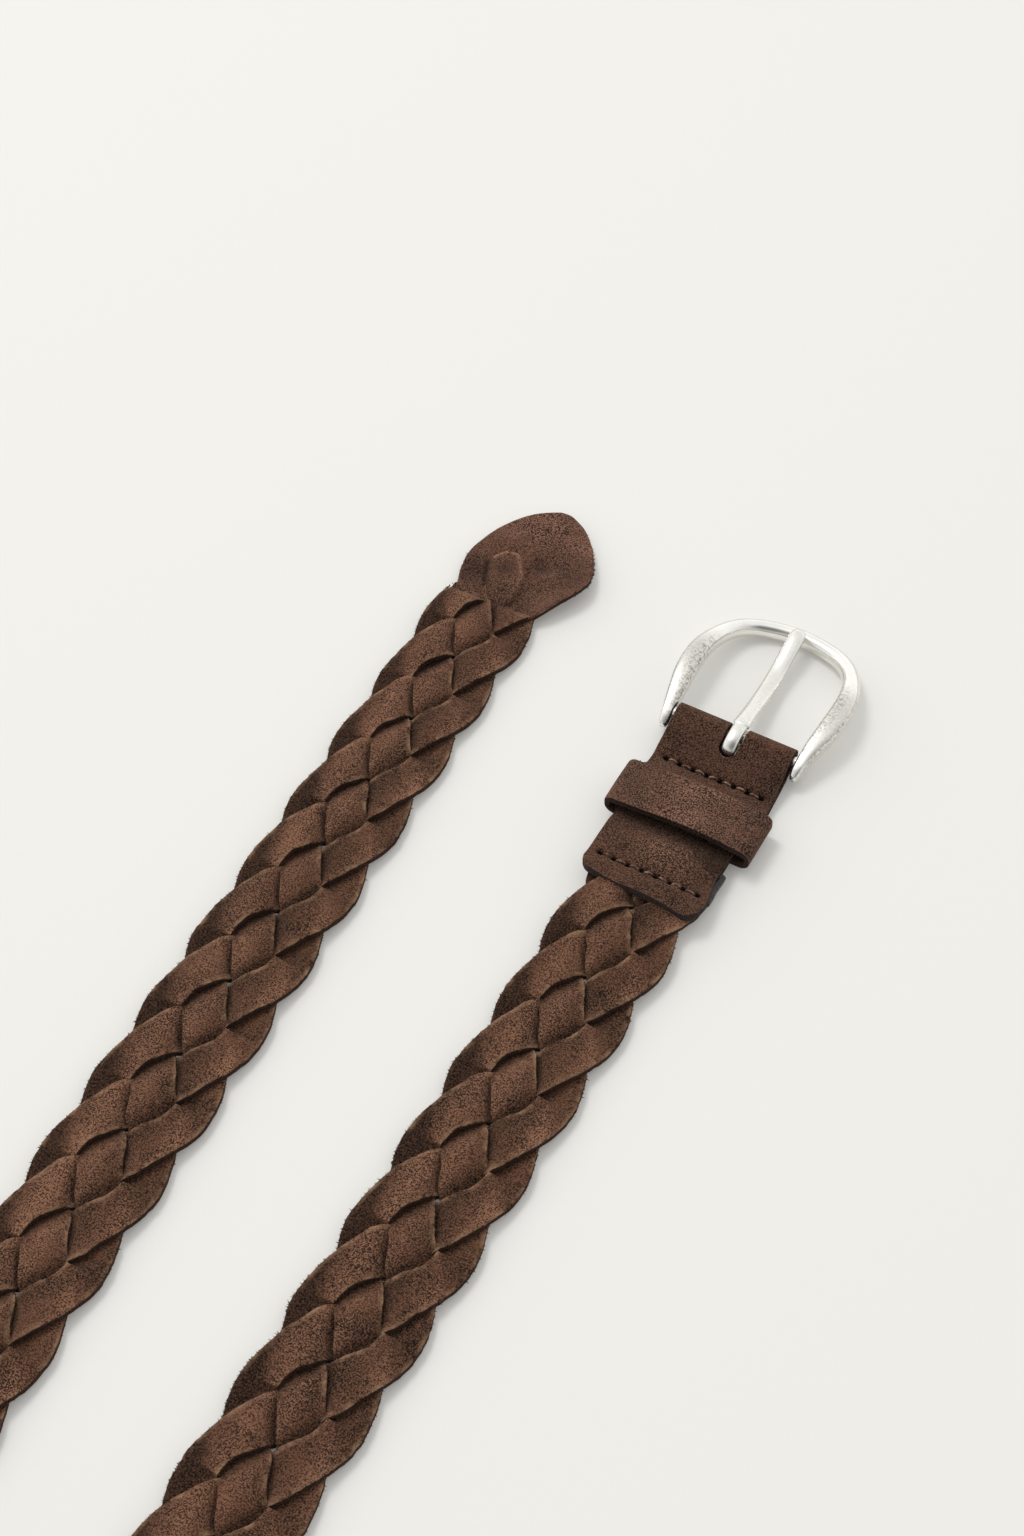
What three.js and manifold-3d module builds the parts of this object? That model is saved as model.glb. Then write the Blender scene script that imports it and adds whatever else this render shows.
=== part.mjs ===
// A braided suede belt with a silver heel-bar buckle, lying on a flat surface.
// Millimetres, +Z up. Both straps lie flat, their outer face up. Beyond them the
// belt turns on its edge through one open hairpin. +Y runs along the straps to
// the buckle and the tip, and the origin is under the middle of the belt's box.
import * as THREE from 'three';
import Module from 'manifold-3d';

const wasm = await Module();
wasm.setup();

// Driving sizes of the braid
const strandWidth = 8.6;
const strandLeather = 1.5;
const layerGap = 0.4;
const strandSpacing = 3.04;
const braidAngle = THREE.MathUtils.degToRad(32.6);
const turnInnerRadius = 14.0;
const braidLobes = 42.5;
const tipNarrowing = 0.06;
const narrowingLength = 190;
const sewnPress = 0.72;
const sewnPressLength = 14;

// Driving sizes of how the belt lies
const strapHalfSpacing = 32.25;
const strapSplay = THREE.MathUtils.degToRad(1.36);
const braidStart = 173.0;
const braidEnd = 231.1;
const flatDownTo = -78;
const liftLength = 36;
const tabLean = THREE.MathUtils.degToRad(1.1);

// Driving sizes of the folded tab and its keeper
const seatGap = 0.3;
const tabWidth = 32;
const foldWidth = 30;
const tabLeather = 1.2;
const tabLength = 55.5;
const tailOverlap = 6.5;
const tabCornerRadius = 3;
const tabSide = -0.5;
const slotWidth = 4.8;
const slotLength = 11;
const seamFromFold = 15.6;
const bindingWidth = 31.6;
const bindingLength = 7.8;
const bindingThickness = 2.2;
const keeperLength = 13;
const keeperFromTail = 19.6;
const keeperWidth = 38;
const keeperLeather = 1.2;
const keeperRoom = 3.3;
const keeperArch = 0.9;
const keeperCorner = 2.6;

// Driving sizes of the buckle
const barRadius = 1.6;
const barHeight = 3.9;
const frameReach = 37.8;
const frameRoom = 1.2;
const frameFootWidth = 4.6;
const prongThickness = 1.9;
const prongWidth = 4.2;
const prongLoopWidth = 3.6;
const prongDrift = -0.4;
const prongReachShare = 0.985;
const metalSides = 10;

// Driving sizes of the tip
const leafLength = 34.8;
const leafWidth = 32;
const leafThickness = 1.9;

// Sizes that follow from the ones above
const tan = Math.tan(braidAngle);
const cos = Math.cos(braidAngle);
const lobePitch = (strandWidth + strandSpacing) / Math.sin(braidAngle);
const turnRadius = turnInnerRadius + strandWidth / 2;
const amplitude = lobePitch * tan - turnRadius * (1 / cos - 1);
const turnCentre = amplitude - turnRadius;
const braidHalfWidth = amplitude + strandWidth / 2;
const level = (strandLeather + layerGap) / 2;
const braidHalfThickness = level + strandLeather / 2;
const braidLength = braidLobes * lobePitch;
const braidLift = tabLeather + seatGap;
const tabTail = braidStart - tailOverlap;
const foldEnd = tabTail + tabLength;
const barInset = barRadius + seatGap + tabLeather;
const barAt = foldEnd - barInset;
const footHalfSpan = foldWidth / 2 + frameRoom + frameFootWidth / 2;

// The hairpin's arc takes up the braid that the two straps leave over.
const arcAngle = Math.PI - 2 * strapSplay;
const arcShare = arcAngle / Math.cos(strapSplay);
const hairpinStart = (braidStart + braidEnd + strapHalfSpacing * arcShare - braidLength)
  / (2 - Math.sin(strapSplay) * arcShare);
const hairpinRadius = (strapHalfSpacing + hairpinStart * Math.sin(strapSplay)) / Math.cos(strapSplay);
const hairpinCentreY = hairpinStart * Math.cos(strapSplay) + hairpinRadius * Math.sin(strapSplay);

const leather = { color: 0x503b30, roughness: 0.92, metalness: 0 };
const leatherDark = { color: 0x2b211c, roughness: 0.55, metalness: 0 };
const silver = { color: 0xd6d3ca, roughness: 0.32, metalness: 1 };

const belt = new THREE.Group();

// Turns a closed body's faces outwards if a mirrored placing left them inwards.
function facingOut(geometry) {
  const position = geometry.getAttribute('position');
  const index = geometry.getIndex();
  const corner = (i) => new THREE.Vector3().fromBufferAttribute(position, index.getX(i));
  let volume = 0;
  for (let i = 0; i < index.count; i += 3) {
    volume += corner(i).dot(corner(i + 1).cross(corner(i + 2)));
  }
  if (volume < 0) {
    geometry.setIndex([...index.array].reverse());
  }
  return geometry;
}

function addMesh(name, geometry, finish) {
  const mesh = new THREE.Mesh(facingOut(geometry), new THREE.MeshStandardMaterial(finish));
  mesh.name = name;
  belt.add(mesh);
}

function smooth(t) {
  const x = THREE.MathUtils.clamp(t, 0, 1);
  return x * x * (3 - 2 * x);
}

// A point beside one of the two straps. side is +1 on the buckle's strap and -1
// on the tip's strap, along is measured up the strap, and out points away from
// the other strap.
function strapPoint(side, along, out, up) {
  const x = strapHalfSpacing + along * Math.sin(strapSplay) + out * Math.cos(strapSplay);
  const y = along * Math.cos(strapSplay) - out * Math.sin(strapSplay);
  return new THREE.Vector3(side * x, y, up);
}

// A point of the braid: station runs from the buckle end to the tip, out points
// away from the inside of the bend, and up is measured from the braid's middle.
function braidPoint(station, out, up) {
  const firstStrap = braidStart - hairpinStart;
  const arcLength = hairpinRadius * arcAngle;
  const pastArc = station - firstStrap - arcLength;
  const along = station < firstStrap ? braidStart - station : hairpinStart + pastArc;
  const turned = station > firstStrap && pastArc < 0;
  const twist = turned ? Math.PI / 2 : Math.PI / 2 * smooth((flatDownTo - along) / (flatDownTo - hairpinStart));
  const rise = braidHalfWidth * Math.sin(twist) + braidHalfThickness * Math.cos(twist);
  const lift = pastArc < 0 ? braidLift * smooth((along - tabTail + liftLength) / liftLength) : 0;
  const press = 1 - (1 - sewnPress) * smooth(1 - (station - tailOverlap) / sewnPressLength);
  const narrow = 1 - tipNarrowing * smooth(1 - (braidLength - station) / narrowingLength);
  const flat = up * press - (1 - press) * braidHalfThickness;
  const across = out * narrow * Math.cos(twist) + flat * Math.sin(twist);
  const height = rise + lift - out * narrow * Math.sin(twist) + flat * Math.cos(twist);
  if (!turned) {
    return strapPoint(pastArc < 0 ? 1 : -1, along, across, height);
  }
  const angle = -strapSplay - (station - firstStrap) / hairpinRadius;
  const radius = hairpinRadius + across;
  return new THREE.Vector3(radius * Math.cos(angle), hairpinCentreY + radius * Math.sin(angle), height);
}

function toSolid(geometry) {
  const position = geometry.getAttribute('position');
  return new wasm.Manifold(new wasm.Mesh({
    numProp: 3,
    vertProperties: new Float32Array(position.array),
    triVerts: new Uint32Array(geometry.getIndex().array),
  }));
}

function toGeometry(solid) {
  const mesh = solid.getMesh();
  const geometry = new THREE.BufferGeometry();
  geometry.setAttribute('position', new THREE.BufferAttribute(new Float32Array(mesh.vertProperties), 3));
  geometry.setIndex(new THREE.BufferAttribute(new Uint32Array(mesh.triVerts), 1));
  return geometry;
}

function mapVertices(geometry, place) {
  const position = geometry.getAttribute('position');
  for (let i = 0; i < position.count; i += 1) {
    const point = place(position.getX(i), position.getY(i), position.getZ(i));
    position.setXYZ(i, point.x, point.y, point.z);
  }
  return geometry;
}

// A closed body through rings of points. Each four-sided face is split along
// the diagonal that runs less far in X, so that layers bend alike.
function loft(rings) {
  const sides = rings[0].length;
  const vertices = rings.flat().flatMap((point) => [point.x, point.y, point.z]);
  const faces = [];
  for (let i = 0; i < rings.length - 1; i += 1) {
    const next = i + 1;
    for (let j = 0; j < sides; j += 1) {
      const k = (j + 1) % sides;
      const [a, b, c, d] = [i * sides + j, i * sides + k, next * sides + k, next * sides + j];
      const spanAC = Math.abs(rings[i][j].x - rings[next][k].x);
      const spanBD = Math.abs(rings[i][k].x - rings[next][j].x);
      if (spanAC <= spanBD) {
        faces.push(a, b, c, a, c, d);
      } else {
        faces.push(a, b, d, b, c, d);
      }
    }
  }
  const top = (rings.length - 1) * sides;
  for (let j = 1; j < sides - 1; j += 1) {
    faces.push(0, j + 1, j);
    faces.push(top, top + j, top + j + 1);
  }
  const geometry = new THREE.BufferGeometry();
  geometry.setAttribute('position', new THREE.Float32BufferAttribute(vertices, 3));
  geometry.setIndex(faces);
  return facingOut(geometry);
}

// The sections of one thong over half a period: from its turn at the braid's
// left edge, over one thong, under the next and over a third, to the right edge.
// Each section follows the edge of the thong that is crossed there.
function halfPeriodSections() {
  const rise = strandWidth / 2 / cos;
  const reach = strandWidth / 2 / Math.sin(braidAngle);
  const outerRadius = turnRadius + strandWidth / 2;
  const edgeY = (radius, x) => turnCentre + Math.sqrt(radius * radius - x * x);
  const square = 1 + tan * tan;
  const linear = tan * (rise - turnCentre);
  const constant = (rise - turnCentre) ** 2 - turnInnerRadius ** 2;
  const meetX = (-linear + Math.sqrt(linear * linear - square * constant)) / square;
  const meetY = edgeY(turnInnerRadius, meetX);
  const half = lobePitch / 2;
  const notchY = edgeY(outerRadius, half);
  const midInnerX = turnInnerRadius * Math.sin(braidAngle);
  const midOuterX = lobePitch - midInnerX;
  const straightX = outerRadius * Math.sin(braidAngle);
  const midOuterY = midOuterX > straightX ? (lobePitch - midOuterX) * tan + rise : edgeY(outerRadius, midOuterX);
  const quarter = 0.5;
  const first = [
    { ax: 0, ay: edgeY(outerRadius, 0), bx: 0, by: edgeY(turnInnerRadius, 0), z: 0 },
    {
      ax: half * quarter,
      ay: edgeY(outerRadius, half * quarter),
      bx: meetX * quarter,
      by: edgeY(turnInnerRadius, meetX * quarter),
      z: level * quarter,
    },
    { ax: half, ay: notchY, bx: meetX, by: meetY, z: level },
    { ax: midOuterX, ay: midOuterY, bx: midInnerX, by: edgeY(turnInnerRadius, midInnerX), z: level },
    { ax: lobePitch - meetX, ay: meetY, bx: half, by: half * tan - rise, z: level },
    { ax: lobePitch, ay: rise, bx: lobePitch - reach, by: 0, z: -level },
  ];
  const second = [...first].reverse().slice(0, -1).map((row) => ({
    ax: 2 * lobePitch - row.bx,
    ay: -row.by,
    bx: 2 * lobePitch - row.ax,
    by: -row.ay,
    z: row.z,
  }));
  return [...first, ...second];
}

function strandBody(index) {
  const over = halfPeriodSections();
  const under = over.map((row) => ({ ax: row.bx, ay: -row.by, bx: row.ax, by: -row.ay, z: -row.z }));
  const rings = [];
  const halves = Math.ceil(braidLobes / 2) + 4;
  for (let half = 0; half < halves; half += 1) {
    const shift = (index - 4) * lobePitch + half * 2 * lobePitch;
    for (const row of half % 2 === 0 ? over : under) {
      const thick = strandLeather / 2;
      rings.push([
        new THREE.Vector3(row.ax + shift, row.ay, row.z + thick),
        new THREE.Vector3(row.ax + shift, row.ay, row.z - thick),
        new THREE.Vector3(row.bx + shift, row.by, row.z - thick),
        new THREE.Vector3(row.bx + shift, row.by, row.z + thick),
      ]);
    }
  }
  const room = strandWidth * 4;
  const clip = new THREE.BoxGeometry(braidLength, room, room);
  clip.translate(braidLength / 2, 0, 0);
  const cut = toSolid(loft(rings)).intersect(toSolid(mergedPositions(clip)));
  return mapVertices(toGeometry(cut), braidPoint);
}

function mergedPositions(geometry) {
  const bare = new THREE.BufferGeometry();
  const position = geometry.getAttribute('position');
  const index = geometry.getIndex();
  const count = index ? index.count : position.count;
  const keys = new Map();
  const vertices = [];
  const faces = [];
  for (let i = 0; i < count; i += 1) {
    const source = index ? index.getX(i) : i;
    const point = [position.getX(source), position.getY(source), position.getZ(source)];
    const key = point.map((value) => value.toFixed(5)).join();
    if (!keys.has(key)) {
      keys.set(key, vertices.length / 3);
      vertices.push(...point);
    }
    faces.push(keys.get(key));
  }
  bare.setAttribute('position', new THREE.Float32BufferAttribute(vertices, 3));
  bare.setIndex(faces);
  return bare;
}

for (let index = 0; index < 4; index += 1) {
  addMesh(`strand_${index + 1}`, strandBody(index), leather);
}

// Rows of the leaf, from the braid's end to the tip: how far along it, how far
// it reaches to each side as a share of half its width, and how far each side
// and the middle lift off the surface, in millimetres.
const leafRows = [
  { along: 0.0, left: 0.66, right: 0.79, liftLeft: 0.5, liftMid: 0.9, liftRight: 1.4 },
  { along: 0.1, left: 0.76, right: 0.97, liftLeft: 0.4, liftMid: 1.0, liftRight: 2.0 },
  { along: 0.25, left: 0.84, right: 1.12, liftLeft: 0.3, liftMid: 1.0, liftRight: 2.4 },
  { along: 0.4, left: 0.84, right: 1.24, liftLeft: 0.2, liftMid: 0.9, liftRight: 2.2 },
  { along: 0.52, left: 0.71, right: 1.17, liftLeft: 0.2, liftMid: 0.8, liftRight: 1.7 },
  { along: 0.65, left: 0.55, right: 1.06, liftLeft: 0.2, liftMid: 0.6, liftRight: 1.2 },
  { along: 0.79, left: 0.36, right: 0.89, liftLeft: 0.2, liftMid: 0.5, liftRight: 0.9 },
  { along: 0.9, left: 0.2, right: 0.66, liftLeft: 0.2, liftMid: 0.3, liftRight: 0.5 },
  { along: 0.97, left: -0.04, right: 0.44, liftLeft: 0.2, liftMid: 0.25, liftRight: 0.3 },
  { along: 1.0, left: -0.16, right: 0.29, liftLeft: 0.2, liftMid: 0.2, liftRight: 0.2 },
];

function leafBody() {
  const shares = [0, 0.25, 0.5, 0.75, 1];
  const rings = leafRows.map((row) => {
    const along = braidEnd + seatGap + row.along * leafLength;
    const under = shares.map((share) => {
      const side = share < 0.5 ? row.liftLeft : row.liftRight;
      return {
        right: THREE.MathUtils.lerp(-row.left, row.right, share) * leafWidth / 2,
        lift: THREE.MathUtils.lerp(row.liftMid, side, (2 * share - 1) ** 2),
      };
    });
    const corner = (point, extra) => strapPoint(-1, along, -point.right, point.lift + extra);
    return [
      ...under.map((point) => corner(point, 0)),
      ...[...under].reverse().map((point) => corner(point, leafThickness)),
    ];
  });
  return loft(rings);
}
addMesh('tip_leaf', leafBody(), leather);

// The folded tab's side view: the under layer, the fold round the bar, and the
// upper layer, which is pressed down at the seam, rides over the keeper's lower
// run and ends over the braid.
const underMid = tabLeather / 2;
const bindingAt = braidStart + seatGap;
const seamAt = foldEnd - seamFromFold;
const keeperAt = tabTail + keeperFromTail;
const keeperEnd = keeperAt + keeperLength;
const seamMid = tabLeather * 1.5 + seatGap;
const overKeeperMid = tabLeather * 1.5 + keeperLeather + 2 * seatGap;
const overBindingMid = tabLeather * 1.5 + bindingThickness + 2 * seatGap;
const overBraidMid = tabLeather * 1.5 + 2 * braidHalfThickness * sewnPress + 2 * seatGap;

function tabMiddleLine() {
  const points = [
    [tabTail, underMid],
    [barAt - slotLength, underMid],
    [barAt - slotLength * 0.5, underMid + 0.12],
  ];
  const radius = barInset - tabLeather / 2;
  const steps = 12;
  for (let i = 0; i <= steps; i += 1) {
    const angle = -0.6 * Math.PI + 1.2 * Math.PI * i / steps;
    points.push([barAt + radius * Math.cos(angle), barHeight + radius * Math.sin(angle)]);
  }
  points.push(
    [seamAt + 4, THREE.MathUtils.lerp(seamMid, barHeight + radius, 0.32)],
    [seamAt, seamMid],
    [seamAt - 3, seamMid + 0.3],
    [keeperEnd + seatGap, overKeeperMid],
    [keeperAt - seatGap, overKeeperMid],
    [bindingAt + bindingLength, overBindingMid + 0.3],
    [bindingAt, overBraidMid],
    [tabTail, overBraidMid],
  );
  return points.map(([along, up]) => new THREE.Vector2(along, up));
}

function tabBody() {
  const line = tabMiddleLine();
  const normals = line.map((point, i) => {
    const before = line[Math.max(i - 1, 0)];
    const after = line[Math.min(i + 1, line.length - 1)];
    const tangent = after.clone().sub(before).normalize();
    return new THREE.Vector2(tangent.y, -tangent.x);
  });
  const half = tabLeather / 2;
  const outer = line.map((point, i) => point.clone().addScaledVector(normals[i], half));
  const inner = line.map((point, i) => point.clone().addScaledVector(normals[i], -half));
  const edges = [-1, 1].map((side) => outer.map((point, i) => [point, inner[i]]).map(([far, near]) => [
    new THREE.Vector3(far.x, side * tabWidth, far.y),
    new THREE.Vector3(near.x, side * tabWidth, near.y),
  ]));
  const rings = line.map((point, i) => [edges[0][i][0], edges[0][i][1], edges[1][i][1], edges[1][i][0]]);
  return toSolid(loft(rings));
}

function extruded(shape, low, high) {
  const geometry = new THREE.ExtrudeGeometry(shape, { depth: high - low, bevelEnabled: false, curveSegments: 6 });
  geometry.translate(0, 0, low);
  return toSolid(mergedPositions(geometry));
}

function slotCutter() {
  const half = slotWidth / 2;
  const end = foldEnd - slotLength + half;
  const shape = new THREE.Shape();
  shape.moveTo(foldEnd + half, -half);
  shape.lineTo(foldEnd + half, half);
  shape.lineTo(end, half);
  shape.absarc(end, 0, half, Math.PI / 2, Math.PI * 1.5, false);
  return extruded(shape, -tabLength, tabLength);
}

function tabOutline() {
  const past = foldEnd + barInset;
  const side = tabWidth / 2;
  const corner = tabTail + tabCornerRadius;
  const shape = new THREE.Shape();
  shape.moveTo(past, -foldWidth / 2);
  shape.lineTo(past, foldWidth / 2);
  shape.lineTo(barAt, foldWidth / 2);
  shape.lineTo(keeperEnd, side);
  shape.absarc(corner, side - tabCornerRadius, tabCornerRadius, Math.PI / 2, Math.PI, false);
  shape.absarc(corner, tabCornerRadius - side, tabCornerRadius, Math.PI, Math.PI * 1.5, false);
  shape.lineTo(keeperEnd, -side);
  shape.lineTo(barAt, -foldWidth / 2);
  return extruded(shape, -tabLength, tabLength);
}

// A point of the buckle end, which leans a little to one side from the tab's tail.
function buckleEndPoint(along, out, up) {
  const past = along - tabTail;
  const leanAlong = past * Math.cos(tabLean) + out * Math.sin(tabLean);
  const leanOut = out * Math.cos(tabLean) - past * Math.sin(tabLean);
  return strapPoint(1, tabTail + leanAlong, tabSide + leanOut, up);
}

const tabSolid = tabBody().intersect(tabOutline()).subtract(slotCutter());
addMesh('tab', mapVertices(toGeometry(tabSolid), buckleEndPoint), leather);

// The braid's pressed and glued end, a rounded slab
function bindingBody() {
  const low = braidLift;
  const corner = bindingThickness / 2;
  const shape = new THREE.Shape();
  const half = bindingWidth / 2;
  shape.absarc(half - corner, low + corner, corner, -Math.PI / 2, Math.PI / 2, false);
  shape.absarc(corner - half, low + corner, corner, Math.PI / 2, Math.PI * 1.5, false);
  const geometry = new THREE.ExtrudeGeometry(shape, { depth: bindingLength, bevelEnabled: false, curveSegments: 4 });
  return mapVertices(mergedPositions(geometry), (x, y, z) => buckleEndPoint(bindingAt + z, x, y));
}
addMesh('braid_binding', bindingBody(), leatherDark);

// The keeper: a flat lower run inside the fold, upright sides and an arched top
function keeperBody() {
  const low = tabLeather + seatGap;
  const roomLow = low + keeperLeather + seatGap + tabLeather;
  const top = roomLow + keeperRoom + keeperLeather;
  const outline = (inset) => {
    const half = keeperWidth / 2 - inset;
    const corner = keeperCorner - inset;
    const shape = new THREE.Path();
    shape.moveTo(half - corner, low + inset);
    shape.absarc(half - corner, low + keeperCorner, corner, -Math.PI / 2, 0, false);
    shape.absarc(half - corner, top - keeperArch - keeperCorner, corner, 0, Math.PI / 2, false);
    shape.quadraticCurveTo(0, top + keeperArch - inset, corner - half, top - keeperArch - inset);
    shape.absarc(corner - half, top - keeperArch - keeperCorner, corner, Math.PI / 2, Math.PI, false);
    shape.absarc(corner - half, low + keeperCorner, corner, Math.PI, Math.PI * 1.5, false);
    return shape.getPoints(5);
  };
  const solidBetween = (points, length, from) => {
    const geometry = new THREE.ExtrudeGeometry(new THREE.Shape(points), { depth: length, bevelEnabled: false });
    geometry.translate(0, 0, from);
    return toSolid(mergedPositions(geometry));
  };
  const ring = solidBetween(outline(0), keeperLength, 0)
    .subtract(solidBetween(outline(keeperLeather), keeperLength + 2, -1));
  return mapVertices(toGeometry(ring), (x, y, z) => buckleEndPoint(keeperAt + z, x, y));
}
addMesh('keeper_loop', keeperBody(), leather);

// Rows of the frame from its foot at the bar to the middle of its outer end, as
// shares of the feet's half span and of the reach, with the middle line's height
// as a share of the bar's height, and the section's own width and depth.
const frameRows = [
  { out: 0.97, along: -0.105, up: 0.85, width: 1.6, depth: 1.8 },
  { out: 0.975, along: -0.09, up: 0.87, width: 3.0, depth: 3.4 },
  { out: 0.985, along: -0.055, up: 0.93, width: 4.0, depth: 4.6 },
  { out: 1.0, along: 0.0, up: 1.05, width: frameFootWidth, depth: 5.2 },
  { out: 1.03, along: 0.14, up: 1.36, width: 5.2, depth: 5.2 },
  { out: 1.055, along: 0.28, up: 1.56, width: 5.5, depth: 5.0 },
  { out: 1.06, along: 0.42, up: 1.63, width: 5.4, depth: 4.8 },
  { out: 1.045, along: 0.55, up: 1.52, width: 5.1, depth: 4.6 },
  { out: 0.995, along: 0.67, up: 1.33, width: 4.7, depth: 4.5 },
  { out: 0.91, along: 0.78, up: 1.1, width: 4.4, depth: 4.4 },
  { out: 0.785, along: 0.87, up: 0.88, width: 4.2, depth: 4.4 },
  { out: 0.61, along: 0.935, up: 0.71, width: 4.1, depth: 4.4 },
  { out: 0.41, along: 0.972, up: 0.62, width: 4.1, depth: 4.4 },
  { out: 0.2, along: 0.993, up: 0.59, width: 4.1, depth: 4.4 },
  { out: 0.0, along: 1.0, up: 0.58, width: 4.1, depth: 4.4 },
];

function ovalRing(centre, sideways, upward, width, depth, fullness) {
  const ring = [];
  for (let i = 0; i < metalSides; i += 1) {
    const angle = 2 * Math.PI * (i + 0.5) / metalSides;
    const round = (value) => Math.sign(value) * Math.abs(value) ** fullness;
    ring.push(centre.clone()
      .addScaledVector(sideways, round(Math.cos(angle)) * width / 2)
      .addScaledVector(upward, round(Math.sin(angle)) * depth / 2));
  }
  return ring;
}

// Rings along a line of points that lie nearly level, one beside each point.
function sweptRings(points, rows, fullness) {
  const up = new THREE.Vector3(0, 0, 1);
  return points.map((point, i) => {
    const before = points[Math.max(i - 1, 0)];
    const after = points[Math.min(i + 1, points.length - 1)];
    const tangent = after.clone().sub(before).normalize();
    const sideways = new THREE.Vector3().crossVectors(tangent, up).normalize();
    const upward = new THREE.Vector3().crossVectors(sideways, tangent).normalize();
    return ovalRing(point, sideways, upward, rows[i].width, rows[i].depth, fullness);
  });
}

function frameBody() {
  const left = frameRows.map((row) => ({ ...row, out: -row.out }));
  const rows = [...left, ...[...frameRows].reverse().slice(1)];
  const points = rows.map((row) => new THREE.Vector3(
    barAt + row.along * frameReach,
    row.out * footHalfSpan,
    row.up * barHeight,
  ));
  const arch = toSolid(loft(sweptRings(points, rows, 0.8)));
  const barSpan = 2 * footHalfSpan;
  const bar = new THREE.CylinderGeometry(barRadius, barRadius, barSpan, 16);
  bar.translate(barAt, 0, 0);
  bar.applyMatrix4(new THREE.Matrix4().makeTranslation(0, 0, barHeight));
  return arch.add(toSolid(mergedPositions(bar)));
}
addMesh('buckle_frame', mapVertices(toGeometry(frameBody()), buckleEndPoint), silver);

// The prong: curled round the bar from the front, under and behind it, then
// forward over the window to rest on the frame's outer end.
function prongBody() {
  const radius = barRadius + seatGap + prongThickness / 2;
  const rim = frameRows[frameRows.length - 1];
  const restUp = rim.up * barHeight + rim.depth / 2 + seatGap + prongThickness / 2;
  const topUp = barHeight + radius;
  const rows = [];
  const steps = 14;
  for (let i = 0; i <= steps; i += 1) {
    const angle = -1.5 * Math.PI * i / steps;
    rows.push({
      along: radius * Math.cos(angle),
      up: barHeight + radius * Math.sin(angle),
      width: prongLoopWidth,
      depth: prongThickness,
      drift: 0,
    });
  }
  const shank = [
    { share: 0.08, sag: 0.1, width: 0.86, depth: 1 },
    { share: 0.17, sag: 0.7, width: 1, depth: 1.15 },
    { share: 0.33, sag: 1.8, width: 1, depth: 1.2 },
    { share: 0.5, sag: 2.4, width: 1, depth: 1.2 },
    { share: 0.65, sag: 2.1, width: 1, depth: 1.15 },
    { share: 0.8, sag: 0.9, width: 1, depth: 1.05 },
    { share: 0.92, sag: 0.1, width: 0.98, depth: 1 },
    { share: 0.98, sag: 0, width: 0.8, depth: 0.9 },
    { share: 1.0, sag: 0.1, width: 0.4, depth: 0.5 },
  ];
  for (const row of shank) {
    rows.push({
      along: frameReach * prongReachShare * row.share,
      up: THREE.MathUtils.lerp(topUp, restUp, row.share) - row.sag,
      width: row.width * prongWidth,
      depth: row.depth * prongThickness,
      drift: prongDrift * row.share,
    });
  }
  const points = rows.map((row) => new THREE.Vector3(barAt + row.along, row.drift, row.up));
  const across = new THREE.Vector3(0, 1, 0);
  const rings = points.map((point, i) => {
    const before = points[Math.max(i - 1, 0)];
    const after = points[Math.min(i + 1, points.length - 1)];
    const tangent = after.clone().sub(before).normalize();
    const outward = new THREE.Vector3().crossVectors(tangent, across).normalize();
    return ovalRing(point, across, outward, rows[i].width, rows[i].depth, 0.7);
  });
  return toSolid(loft(rings));
}
addMesh('prong', mapVertices(toGeometry(prongBody()), buckleEndPoint), silver);

// The origin goes to the surface under the middle of the belt's box.
const box = new THREE.Box3().setFromObject(belt);
const middle = box.getCenter(new THREE.Vector3());
belt.position.set(-middle.x, -middle.y, 0);

export default belt;
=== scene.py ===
import math

import bmesh
import bpy
import numpy as np
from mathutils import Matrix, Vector


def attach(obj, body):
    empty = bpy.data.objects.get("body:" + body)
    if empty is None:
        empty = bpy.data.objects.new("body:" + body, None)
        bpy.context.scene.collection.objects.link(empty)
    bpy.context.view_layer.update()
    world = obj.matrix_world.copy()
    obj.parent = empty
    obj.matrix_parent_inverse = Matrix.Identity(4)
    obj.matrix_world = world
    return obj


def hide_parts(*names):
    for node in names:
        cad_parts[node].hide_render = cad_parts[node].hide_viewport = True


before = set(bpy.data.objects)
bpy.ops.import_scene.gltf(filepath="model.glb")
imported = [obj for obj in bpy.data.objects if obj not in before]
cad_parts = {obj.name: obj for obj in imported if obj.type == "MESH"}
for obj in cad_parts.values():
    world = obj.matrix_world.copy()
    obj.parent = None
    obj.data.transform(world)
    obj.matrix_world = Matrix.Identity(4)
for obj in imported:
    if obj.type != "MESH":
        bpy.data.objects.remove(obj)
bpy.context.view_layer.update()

MM = 0.001

# The braid, as in the solids
STRAND_WIDTH = 8.6
STRAND_LEATHER = 1.5
LAYER_GAP = 0.4
STRAND_SPACING = 3.04
BRAID_ANGLE = math.radians(32.6)
TURN_INNER_RADIUS = 14.0
BRAID_LOBES = 42.5
TIP_NARROWING = 0.06
NARROWING_LENGTH = 190
SEWN_PRESS = 0.72
SEWN_PRESS_LENGTH = 14

# How the belt lies
STRAP_HALF_SPACING = 32.25
STRAP_SPLAY = math.radians(1.36)
BRAID_START = 173.0
BRAID_END = 231.1
FLAT_DOWN_TO = -78
LIFT_LENGTH = 36
TAB_LEAN = math.radians(1.1)
MIDDLE_X = 3.353
MIDDLE_Y = 11.526

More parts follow.
